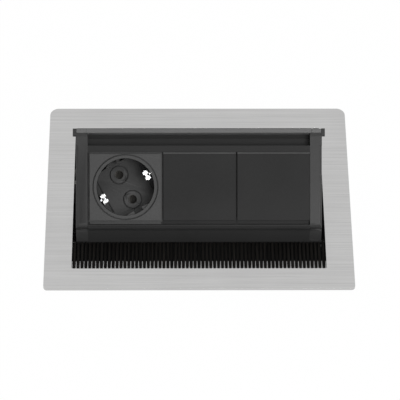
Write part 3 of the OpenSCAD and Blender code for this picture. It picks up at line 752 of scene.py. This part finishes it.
def join_by(piece: Piece, other: Piece, operation: str = "DIFFERENCE") -> None:
    """Cuts, adds or meets a piece with another, which is then removed.

    Args:
        piece: The piece that stays.
        other: The piece that is used up.
        operation: DIFFERENCE, UNION or INTERSECT.
    """
    alone(piece)
    step = piece.modifiers.new("boolean", "BOOLEAN")
    step.operation = operation
    step.solver = "EXACT"
    step.object = other
    bpy.ops.object.modifier_apply(modifier=step.name)
    bpy.data.objects.remove(other, do_unlink=True)


def soften(piece: Piece, width: float, steps: int = 2) -> None:
    """Bevels all sharp edges a little and smooths the shading.

    Args:
        piece: The piece.
        width: The bevel's width in millimetres.
        steps: Its segments.
    """
    alone(piece)
    bevel = piece.modifiers.new("soften", "BEVEL")
    bevel.width = width * MM
    bevel.segments = steps
    bevel.limit_method = "ANGLE"
    bevel.angle_limit = SHARP_ANGLE
    bpy.ops.object.modifier_apply(modifier=bevel.name)
    smooth(piece)


def smooth(piece: Piece) -> None:
    """Smooths the shading of curved parts and keeps large faces flat.

    Args:
        piece: The piece.
    """
    alone(piece)
    bpy.ops.object.shade_smooth_by_angle(angle=SMOOTH_ANGLE)
    weigh = piece.modifiers.new("weigh", "WEIGHTED_NORMAL")
    weigh.weight = FACE_WEIGHT
    weigh.keep_sharp = True
    bpy.ops.object.modifier_apply(modifier=weigh.name)


def copy_of(node: str, name: str) -> Piece:
    """Copies a CAD node's mesh as a new closed piece.

    Args:
        node: The CAD node's name.
        name: The new piece's name.

    Returns:
        The copy, with its doubles merged and its flat faces whole.
    """
    piece = link(name, frame["nodes"][node].data.copy())
    alone(piece)
    bpy.ops.object.mode_set(mode="EDIT")
    bpy.ops.mesh.select_all(action="SELECT")
    bpy.ops.mesh.remove_doubles(threshold=MERGE_GAP)
    bpy.ops.mesh.dissolve_limited(angle_limit=FLAT_ANGLE)
    done()
    piece.data.materials.clear()
    return piece


WARDROBE = Wardrobe()


def hand_over(piece: Piece, body: Body, slot: str, replaced: Sequence[str] = ()) -> None:
    """Finishes a piece: its material, body, slot and the nodes that it stands for.

    Args:
        piece: The piece, in place.
        body: The body that it rides on.
        slot: The record's material slot.
        replaced: The CAD nodes that it replaces.
    """
    WARDROBE.dress(piece, slot)
    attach(piece, body.value)
    if replaced:
        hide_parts(*replaced)
    faces = len(piece.data.polygons)
    log.info("%s rides on %s, %d faces, for %s", piece.name, body.value, faces, list(replaced))


def fit(piece: Piece, edge: float, steps: int, place: Matrix, slot: str,
        replaced: Sequence[str] = ()) -> None:
    """Softens a piece of the tilting unit, puts it in place and hands it over.

    Args:
        piece: The piece, in the frame that it was modelled in.
        edge: The width that its sharp edges are softened by, in millimetres.
        steps: The segments of that.
        place: From that frame to the shared one.
        slot: The record's material slot.
        replaced: The CAD nodes that it replaces.
    """
    soften(piece, edge, steps)
    move(piece, place)
    hand_over(piece, Body.UNIT, slot, replaced)


@dataclass
class Layout:
    """Sizes that the sub-assemblies share, in millimetres and degrees, and their frames."""

    pivot: Triple = (0.0, 34.6, -16.8)
    open_angle: float = 60.0
    face_lean: float = 10.0
    lid_front: float = 72.0
    lid_low: float = 15.8
    face_set: float = 0.5
    row_top: float = 23.4
    rail_h: float = 4.5
    grip_h: float = 8.5
    pitch: float = 50.0
    shift: float = 0.4
    opening: Triple = (85.6, -63.5, 62.0)

    def unit(self) -> Matrix:
        """Returns the tilting unit's frame in its open place, in metres."""
        turn = Matrix.Rotation(math.radians(-self.open_angle), 4, "X")
        return Matrix.Translation(Vector(self.pivot) * MM) @ turn

    def face(self) -> Matrix:
        """Works out the module face's frame.

        Returns:
            The frame in its open place, in metres.
        """
        reach = self.row_top + self.rail_h + self.grip_h
        lean = math.radians(self.face_lean)
        y = self.face_set - self.lid_front + reach * math.sin(lean)
        z = self.lid_low - reach * math.cos(lean)
        return (
            self.unit()
            @ Matrix.Translation((0, y * MM, z * MM))
            @ Matrix.Rotation(math.radians(90 + self.face_lean), 4, "X")
        )

    def column(self, number: int) -> Matrix:
        """Returns a module's frame, by its place in the row from the middle one."""
        step = Matrix.Translation(((number * self.pitch + self.shift) * MM, 0, 0))
        return self.face() @ step


@dataclass
class SteelFrame:
    """The brushed frame plate with softened edges."""

    layout: Layout
    width: float = 208.0
    depth: float = 161.0
    thick: float = 2.0
    rear_r: float = 6.0
    rear_steps: int = 10
    front_r: float = 2.5
    front_steps: int = 8
    inner_r: float = 1.0
    inner_steps: int = 4
    edge: float = 0.35
    hole_z: Pair = (-5.0, 9.0)

    def build(self) -> None:
        """Models the plate, cuts its opening and softens its edges."""
        w, d = self.width / 2, self.depth / 2
        plate = cube("steel_frame", (-w, -d, 0), (w, d, self.thick))
        round_edges(
            plate, lambda a, b: upright(a, b) and a.y > 0, self.rear_r, self.rear_steps
        )
        front = NEAR - d
        round_edges(
            plate, lambda a, b: upright(a, b) and a.y < front, self.front_r, self.front_steps
        )
        half, near, far = self.layout.opening
        low, high = self.hole_z
        hole = cube("hole", (-half, near, low), (half, far, high))
        round_edges(hole, upright, self.inner_r, self.inner_steps)
        join_by(plate, hole)
        soften(plate, self.edge, 3)
        hand_over(plate, Body.HOUSING, "brushed_stainless", ["frame_plate"])


@dataclass
class CableBrush:
    """The comb of fanned bristle tufts and the spine that holds their roots."""

    layout: Layout
    tufts: int = 65
    strands: int = 44
    gap: float = 0.3
    root_y: float = -63.5
    low: float = -1.36
    high: float = -0.14
    strand_r: float = 0.075
    root_share: float = 0.43
    shares: Tuple[Pair, ...] = (
        (2.0, 0.50), (3.6, 0.66), (6.0, 0.72), (9.0, 0.74), (24.5, 0.76)
    )
    variants: int = 5
    tuft_seed: int = 100
    comb_seed: int = 7
    spine_y: Pair = (-65.7, 0.1)
    spine_z: Pair = (-1.4, -0.1)
    spine_front: float = -64.0
    spine_r: float = 0.4

    def half(self) -> float:
        """Returns half the comb's length."""
        return self.layout.opening[0] - self.gap

    def pitch(self) -> float:
        """Returns the step from one tuft to the next."""
        return 2 * self.half() / self.tufts

    def root(self, x: float, z: float) -> None:
        """Adds a strand's root, a small square, at a place in millimetres."""
        bpy.ops.mesh.primitive_circle_add(
            vertices=4,
            radius=self.strand_r * MM,
            fill_type="NGON",
            location=(x * MM, self.root_y * MM, z * MM),
            rotation=(math.pi / 2, 0, 0),
        )

    def one_tuft(self, number: int) -> Piece:
        """Models one tuft at X = 0: strands are drawn out and fanned.

        Args:
            number: The variant, which seeds the strands' places.

        Returns:
            The tuft.
        """
        pick = random.Random(self.tuft_seed + number)
        half = self.root_share * self.pitch() / 2
        mid, deep = (self.low + self.high) / 2, (self.high - self.low) / 2
        places: List[Pair] = []
        for i in range(self.strands):
            x = half * (2 * (i + pick.random()) / self.strands - 1)
            places.append((x, mid + deep * math.sqrt(1 - (x / half) ** 2) * pick.uniform(-1, 1)))
        bpy.ops.object.select_all(action="DESELECT")
        self.root(*places[0])
        tuft = take("tuft_%d" % number)
        bpy.ops.object.mode_set(mode="EDIT")
        for place in places[1:]:
            self.root(*place)
        bpy.ops.mesh.select_all(action="SELECT")
        done_y, done_w = 0.0, 1.0
        for stop, share in self.shares:
            factor = share / self.root_share
            bpy.ops.mesh.extrude_region_move(
                TRANSFORM_OT_translate={"value": (0, (stop - done_y) * MM, 0)}
            )
            bpy.ops.transform.resize(
                value=(factor / done_w, 1, 1), center_override=(0, (self.root_y + stop) * MM, 0)
            )
            done_y, done_w = stop, factor
        bpy.ops.mesh.select_all(action="SELECT")
        bpy.ops.mesh.normals_make_consistent(inside=False)
        done()
        return tuft

    def comb(self) -> Piece:
        """Copies the tufts along the comb.

        Returns:
            All bristles as one piece.
        """
        kinds = [self.one_tuft(i) for i in range(self.variants)]
        pick = random.Random(self.comb_seed)
        copies: List[Piece] = []
        for i in range(self.tufts):
            kind = kinds[pick.randrange(self.variants)]
            copies.append(link("strands", kind.data.copy()))
            copies[-1].location = ((i + 0.5 - self.tufts / 2) * self.pitch() * MM, 0, 0)
        for kind in kinds:
            bpy.data.objects.remove(kind, do_unlink=True)
        bpy.context.view_layer.update()
        bpy.ops.object.select_all(action="DESELECT")
        for copy in copies:
            copy.select_set(True)
        bpy.context.view_layer.objects.active = copies[0]
        bpy.ops.object.join()
        return take("brush_bristles")

    def build(self) -> None:
        """Makes the comb and the spine over its roots."""
        brush = self.comb()
        half = self.half()
        (back, over), (low, high) = self.spine_y, self.spine_z
        spine = cube("brush_spine", (-half, back, low), (half, self.root_y + over, high))
        front = self.spine_front
        round_edges(
            spine, lambda a, b: min(a.y, b.y) > front and lengthwise(a, b), self.spine_r
        )
        for piece in (brush, spine):
            hand_over(piece, Body.HOUSING, "bristles", ["brush_strip"])


@dataclass
class Lid:
    """The grey lid panel and its two end pieces."""

    layout: Layout
    tail: float = 26.9
    top: float = 18.8
    panel_x: float = 76.0
    end_x: Pair = (76.1, 82.5)
    nose_r: float = 0.8
    nose_steps: int = 5
    tail_r: float = 2.9
    tail_steps: int = 6
    edge: float = 0.15

    def slab(self, name: str, x0: float, x1: float, node: str) -> None:
        """Makes one length of the lid with its round front edge.

        Args:
            name: The piece's name.
            x0: Its left end.
            x1: Its right end.
            node: The CAD node that it replaces.
        """
        front = -self.layout.lid_front
        nose = front + NEAR
        back, roof = self.tail - NEAR, self.top - NEAR
        slab = cube(name, (x0, front, self.layout.lid_low), (x1, self.tail, self.top))
        round_edges(
            slab, lambda a, b: max(a.y, b.y) < nose and lengthwise(a, b),
            self.nose_r, self.nose_steps,
        )
        round_edges(
            slab, lambda a, b: min(a.y, b.y) > back and min(a.z, b.z) > roof,
            self.tail_r, self.tail_steps,
        )
        fit(slab, self.edge, 2, self.layout.unit(), "lid_grey", [node])

    def build(self) -> None:
        """Makes the panel and both ends."""
        a, b = self.end_x
        self.slab("lid_plate", -self.panel_x, self.panel_x, "lid_panel")
        self.slab("lid_cap_left", -b, -a, "lid_end_left")
        self.slab("lid_cap_right", a, b, "lid_end_right")


@dataclass
class EndCap:
    """A cheek of the carrier, with the lid's side strip cut back behind its corner."""

    layout: Layout
    strip_x: Pair = (83.02, 88.0)
    corner: float = 3.0
    strip_far: float = 40.0
    strip_z: Pair = (10.0, 25.0)

    def build(self, side: int, word: str) -> None:
        """Cuts the strip off a copy of the cap.

        Args:
            side: 1 for the right cap and -1 for the left.
            word: The side as the node's name has it.
        """
        node = "end_cap_" + word
        cap = copy_of(node, "cheek_" + word)
        x0, x1 = sided(side, *self.strip_x)
        behind = self.corner - self.layout.lid_front
        low, high = self.strip_z
        strip = cube("strip", (x0, behind, low), (x1, self.strip_far, high))
        move(strip, self.layout.unit())
        join_by(cap, strip)
        bpy.ops.object.shade_flat()
        hand_over(cap, Body.UNIT, "cap_black", [node])


@dataclass
class SkirtEnd:
    """The last stretch of the carrier's curved skirt, down to the bristles' tips."""

    layout: Layout
    half: float = 83.0
    radii: Pair = (72.9, 74.5)
    angles: Pair = (227.02, 229.6)
    edge: float = 0.3

    def build(self) -> None:
        """Models the stretch as a bar that lies along the skirt's arc."""
        inner, outer = self.radii
        first, last = self.angles
        reach = math.radians(last - first) * outer / 2
        bar = cube("skirt_end", (-self.half, inner, -reach), (self.half, outer, reach))
        turn = Matrix.Rotation(math.radians((first + last) / 2), 4, "X")
        fit(bar, self.edge, 2, self.layout.unit() @ turn, "carrier_black")


@dataclass
class ModulePlate:
    """A module's face plate with tabs and a rear skirt, blank or bored for the socket.

    Names with _n are heights over the module face.
    """

    layout: Layout
    width: float = 48.9
    face_n: float = -0.1
    back_n: float = -3.0
    tab: float = 1.6
    tab_t: float = 1.5
    side_step: float = 0.5
    side_t: float = 1.0
    foot_t: float = 0.5
    brow: float = 1.1
    brow_n: float = -1.6
    sill: float = 0.9
    sill_n: float = -2.5
    # Face height and edge softening of the painted highlight strip along a blank's top edge.
    highlight_n: float = -0.2
    highlight_edge: float = 0.2
    skirt_n: float = -12.0
    skirt_half: float = 22.2
    wall: float = 1.5
    edge: float = 0.45
    beyond: float = 9.0
    socket_narrow: float = 0.45
    socket_edge: float = 0.3
    rim_r: float = 22.25
    rim_n: float = -2.0
    bore_r: float = 21.1
    bore_n: float = -15.0
    bore_top: float = 3.0

    def shell(self, name: str, narrow: float = 0.0) -> Piece:
        """Models the plate in its own frame: face, skirt by inset and extrude, and tabs.

        Args:
            name: The piece's name.
            narrow: How much narrower than its place the face is on each side.

        Returns:
            The piece, centred on its module.
        """
        w, top, back = self.width / 2 - narrow, self.layout.row_top, self.back_n
        wide = w + narrow + self.side_step
        plate = cube(name, (-w, -top, back), (w, top, self.face_n))
        select(plate, faces=lambda c, n: n.z < -0.9)
        push(top - self.skirt_half, self.skirt_n - back)
        push(self.wall, back - self.skirt_n)
        done()
        for part, x, y0, y1, thick in (
            ("head", w, 0, top + self.tab, self.tab_t),
            ("foot", w, -top - self.tab, 0, self.foot_t),
            ("steps", wide, -top, top, self.side_t),
        ):
            ledge = cube(part, (-x, y0, back), (x, y1, back + thick))
            join_by(plate, ledge, "UNION")
        far, over = w + self.beyond, self.beyond
        for y0, y1, deep in (
            (top - self.brow, top + over, self.brow_n),
            (-top - over, -top + self.sill, self.sill_n),
        ):
            cut = cube("cut", (-far, y0, deep), (far, y1, over))
            join_by(plate, cut)
        return plate

    def blank(self, name: str, column: int, node: str) -> None:
        """Makes a blank module and a strip of lighter plastic along its top, a painted highlight
        on the module's top edge.

        Args:
            name: The piece's name.
            column: Its place in the row, from the middle one.
            node: The CAD node that it replaces.
        """
        place = self.layout.column(column)
        plate = self.shell(name)
        fit(plate, self.edge, 3, place, "module_black", [node])
        w, top = self.width / 2, self.layout.row_top
        # Painted highlight: a strip of the lighter socket plastic fills the cut along the top edge
        # and stands for the light that this edge catches.
        painted_highlight = cube(
            name + "_painted_highlight", (-w, top - self.brow, self.brow_n), (w, top, self.highlight_n)
        )
        fit(painted_highlight, self.highlight_edge, 2, place, "socket_black", [node])

    def bezel(self, name: str, column: int, node: str) -> None:
        """Makes the socket's plate with its stepped bore.

        Args:
            name: The piece's name.
            column: Its place in the row, from the middle one.
            node: The CAD node that it replaces.
        """
        plate = self.shell(name, self.socket_narrow)
        for radius, deep in ((self.rim_r, self.rim_n), (self.bore_r, self.bore_n)):
            join_by(plate, disc("bore", radius, deep, self.bore_top))
        fit(plate, self.socket_edge, 3, self.layout.column(column), "socket_black", [node])


@dataclass
class SocketCup:
    """The turned cup of the earthed socket. past and over are how far its cutters reach out."""

    layout: Layout
    turn: float = 29.0
    rim_r: float = 21.35
    rim_t: float = 2.0
    cup_r: float = 21.0
    recess_r: float = 19.5
    recess_d: float = 17.5
    floor_t: float = 3.0
    pin_y: float = 9.5
    pin_r: float = 3.0
    boss_r: float = 5.7
    boss_h: float = 1.2
    boss_root: float = 0.3
    groove: Pair = (0.75, 1.8)
    rib: Triple = (3.0, 8.6, 17.0)
    rib_root: float = 0.5
    rib_top: float = -2.0
    pocket: Pair = (15.2, 2.0)
    pocket_past: Pair = (2.0, 0.5)
    niche: Pair = (-1.0, 0.7)
    niche_top: float = -2.5
    floor_play: float = 0.2
    chord_half: float = 30.0
    past: float = 1.0
    over: float = 5.0
    clip_w: float = 6.4
    clip_play: float = 0.3
    leg_x: float = 18.3
    clip_t: float = 1.0
    edge: float = 0.22

    def place(self) -> Matrix:
        """Returns the turned socket's own frame."""
        return self.layout.column(-1) @ Matrix.Rotation(math.radians(self.turn), 4, "Z")

    def build(self) -> None:
        """Models the cup from a disc by inset, extrude and cuts."""
        low = -self.recess_d - self.floor_t
        cup = disc("socket_cup", self.rim_r, -self.rim_t, 0)
        select(cup, faces=lambda c, n: n.z < -0.9)
        push(self.rim_r - self.cup_r, low + self.rim_t)
        done()
        select(cup, faces=lambda c, n: n.z > 0.9)
        push(self.rim_r - self.recess_r, -self.recess_d)
        done()
        for end in (1, -1):
            self.pin_boss(cup, end, low)
        for end in (1, -1):
            foot, y = low - self.past, end * self.pin_y
            hole = disc("hole", self.pin_r, foot, self.over, y, SIDES)
            join_by(cup, hole)
            self.clip_pocket(cup, end, low)
        fit(cup, self.edge, 2, self.place(), "socket_black", ["socket_insert"])

    def pin_boss(self, cup: Piece, end: int, low: float) -> None:
        """Adds one pin's boss, with the groove round it and its two ribs.

        Args:
            cup: The cup.
            end: 1 or -1 for the pin's side.
            low: The cup's underside.
        """
        floor, y, sides = -self.recess_d, end * self.pin_y, SIDES
        wide, deep = self.groove
        top = floor + self.past
        ring = disc("ring", self.boss_r + wide, floor - deep, top, y, sides)
        join_by(cup, ring)
        foot, top = low + self.boss_root, self.boss_h - self.recess_d
        join_by(cup, disc("boss", self.boss_r, foot, top, y, sides), "UNION")
        for side in (1, -1):
            x0, x1 = sided(side, self.rib[0], self.rib[1])
            y0, y1 = sided(end, self.rib[2], self.recess_r + self.rib_root)
            rib = cube("rib", (x0, y0, floor - self.rib_root), (x1, y1, self.rib_top))
            join_by(cup, rib, "UNION")

    def clip_pocket(self, cup: Piece, end: int, low: float) -> None:
        """Cuts the niche, the lower floor and the slot for one earth clip.

        Args:
            cup: The cup.
            end: 1 for the clip on the right and -1 for the left.
            low: The cup's underside.
        """
        half = self.clip_w / 2 + self.clip_play
        chord, deep = self.pocket
        foot = -self.recess_d - deep
        x0, x1 = sided(end, self.recess_r + self.niche[0], self.recess_r + self.niche[1])
        niche = cube("niche", (x0, -half, foot), (x1, half, self.niche_top))
        join_by(cup, niche)
        side, top = self.pocket_past
        floor = disc("floor", self.recess_r - self.floor_play, foot, top - self.recess_d)
        x0, x1 = sided(end, chord, self.recess_r + side)
        far = self.chord_half
        segment = cube("chord", (x0, -far, -far), (x1, far, self.over))
        join_by(floor, segment, "INTERSECT")
        join_by(cup, floor)
        x0, x1 = sided(end, self.leg_x - self.clip_play, self.leg_x + self.clip_t + self.clip_play)
        slot = cube("slot", (x0, -half, low - self.past), (x1, half, self.past + foot))
        join_by(cup, slot)


@dataclass
class EarthClips:
    """The earth contact's strip with its two forked clips, their pads rolled wide."""

    cup: SocketCup
    reach: Pair = (14.3, 18.5)
    prong: Pair = (0.75, 3.15)
    pad_n: Pair = (-5.0, -4.1)
    roll: float = 0.6
    roll_steps: int = 4

    def build(self) -> None:
        """Adds a rounded pad to each of the four prongs of the strip."""
        strip = copy_of("earth_clip", "earth_contact")
        low, high = self.pad_n
        rim = high - NEAR
        for end in (1, -1):
            for side in (1, -1):
                x0, x1 = sided(end, *self.reach)
                y0, y1 = sided(side, *self.prong)
                pad = cube("pad", (x0, y0, low), (x1, y1, high))
                round_edges(pad, lambda a, b: min(a.z, b.z) > rim, self.roll, self.roll_steps)
                move(pad, self.cup.place())
                join_by(strip, pad, "UNION")
        bpy.ops.object.shade_flat()
        hand_over(strip, Body.UNIT, "clip_nickel", ["earth_clip"])


@dataclass(frozen=True)
class Lamp:
    """An area lamp that looks at the object. Place and side are in metres, power in watts."""

    name: str
    place: Triple
    side: float
    power: float
    mirrored: bool = False

    def build(self) -> None:
        """Adds the lamp. Glossy surfaces show it only where it is mirrored."""
        data = bpy.data.lights.new(self.name, "AREA")
        data.size = self.side
        data.energy = self.power
        lamp = link(self.name, data)
        lamp.location = self.place
        lamp.rotation_euler = (-Vector(self.place)).to_track_quat("-Z", "Y").to_euler()
        lamp.visible_glossy = self.mirrored


@dataclass
class Studio:
    """The desk slab, floor, backdrop, lamps and camera."""

    layout: Layout
    cut: Pair = (189.0, 153.0)
    cut_z: Pair = (-40.0, 10.0)
    cut_r: float = 3.0
    cut_steps: int = 6
    slab: Tuple[float, float, float, float] = (-155.0, 155.0, -195.0, 190.0)
    slab_t: float = 25.0
    slab_gap: float = 0.02
    slab_edge: float = 0.8
    floor_z: float = -76.4
    floor_half: float = 3000.0
    floor_t: float = 10.0
    desk_level: float = 238.0
    floor_level: float = 236.0
    mottle: float = 2.0
    plain_share: float = 0.96
    ambient: float = 0.36
    elevation: float = 50.0
    azimuth: float = 0.964
    roll: float = 0.686
    seen_from: Triple = (-0.01839, -1.08346, 1.29418)
    lens: float = 220.95
    sensor: float = 36.0
    clips: Pair = (0.05, 50.0)
    shift: Pair = (0.0045, -0.0123)
    lamps: Tuple[Lamp, ...] = (
        Lamp("key", (0.64, -1.5, 1.52), 1.15, 33.0, True),
        Lamp("overhead", (-0.1, 0.1, 2.2), 1.2, 8.0),
        Lamp("rear", (-0.6, 1.5, 1.0), 0.9, 14.0),
    )

    def white(self, name: str, level: float) -> bpy.types.Material:
        """Makes a pale ground that is white to the camera and still takes shadow.

        Args:
            name: The material's name.
            level: Its picture level under the lamps.

        Returns:
            The material.
        """
        board = Board(bpy.data.materials.new(name))
        fine = board.noise(900.0, 3.0)
        cloud = board.noise(9.0, 2.0)
        low, high = grey(level - self.mottle), grey(level + self.mottle)
        colour = board.blend(fine * 0.5 + cloud * 0.5, low, high)
        matt = board.wire("ShaderNodeBsdfPrincipled", {}, {
            "Base Color": colour, "Roughness": fine * 0.1 + 0.6, "Specular IOR Level": 0.2,
        })
        glow = board.wire("ShaderNodeEmission", {}, {"Color": WHITE, "Strength": 1.0})
        share = board.shown() * self.plain_share
        mix = board.wire("ShaderNodeMixShader", {}, {0: share, 1: matt, 2: glow})
        board.add("ShaderNodeOutputMaterial", {}, {0: mix})
        return board.owner

    def ground(self) -> None:
        """Makes the desk slab with its cut-out, and the floor."""
        x0, x1, y0, y1 = self.slab
        desk = cube("stage_desk", (x0, y0, -self.slab_t), (x1, y1, -self.slab_gap))
        (cx, cy), (low, high) = (self.cut[0] / 2, self.cut[1] / 2), self.cut_z
        hole = cube("cut", (-cx, -cy, low), (cx, cy, high))
        round_edges(hole, upright, self.cut_r, self.cut_steps)
        join_by(desk, hole)
        soften(desk, self.slab_edge, 3)
        desk.data.materials.append(self.white("stage_desk_white", self.desk_level))
        far, top = self.floor_half, self.floor_z
        floor = cube("stage_floor", (-far, -far, top - self.floor_t), (far, far, top))
        floor.data.materials.append(self.white("stage_floor_white", self.floor_level))

    def world(self) -> None:
        """Lights the scene plainly, with white for what the camera or metal sees."""
        world = bpy.data.worlds.new("studio")
        bpy.context.scene.world = world
        board = Board(world)
        strength = board.shown() * (1 - self.ambient) + self.ambient
        ground = board.wire("ShaderNodeBackground", {}, {"Color": WHITE, "Strength": strength})
        board.add("ShaderNodeOutputWorld", {}, {0: ground})

    def camera(self) -> None:
        """Sets the photograph's view."""
        data = bpy.data.cameras.new("view")
        data.lens = self.lens
        data.sensor_width = self.sensor
        data.shift_x, data.shift_y = self.shift
        data.clip_start, data.clip_end = self.clips
        cam = link("view", data)
        turn = Matrix.Rotation(math.radians(-self.azimuth), 4, "Z")
        tip = Matrix.Rotation(math.radians(90 - self.elevation), 4, "X")
        roll = Matrix.Rotation(math.radians(self.roll), 4, "Z")
        cam.matrix_world = Matrix.Translation(self.seen_from) @ turn @ tip @ roll
        bpy.context.scene.camera = cam

    def build(self) -> None:
        """Makes the whole studio."""
        self.ground()
        self.world()
        for lamp in self.lamps:
            lamp.build()
        self.camera()
        bpy.context.scene.view_settings.view_transform = "Standard"


def dress_nodes() -> None:
    """Gives every CAD node its slot's finish."""
    for part in frame["record"]["subparts"]:
        WARDROBE.dress(frame["nodes"][part["node"]], part["material_slot"])
        log.info("node %s has %s", part["node"], part["material_slot"])


def main() -> None:
    """Builds the sub-assemblies, dresses the nodes and sets up the studio."""
    logging.basicConfig(level=logging.INFO, format="%(message)s")
    layout = Layout()
    dress_nodes()
    SteelFrame(layout).build()
    CableBrush(layout).build()
    Lid(layout).build()
    plates = ModulePlate(layout)
    plates.blank("blank_plate_centre", 0, "blank_centre")
    plates.blank("blank_plate_right", 1, "blank_right")
    plates.bezel("socket_plate", -1, "socket_bezel")
    cup = SocketCup(layout)
    cup.build()
    EarthClips(cup).build()
    SkirtEnd(layout).build()
    for side, word in ((-1, "left"), (1, "right")):
        EndCap(layout).build(side, word)
    Studio(layout).build()


if __name__ == "__main__":
    main()
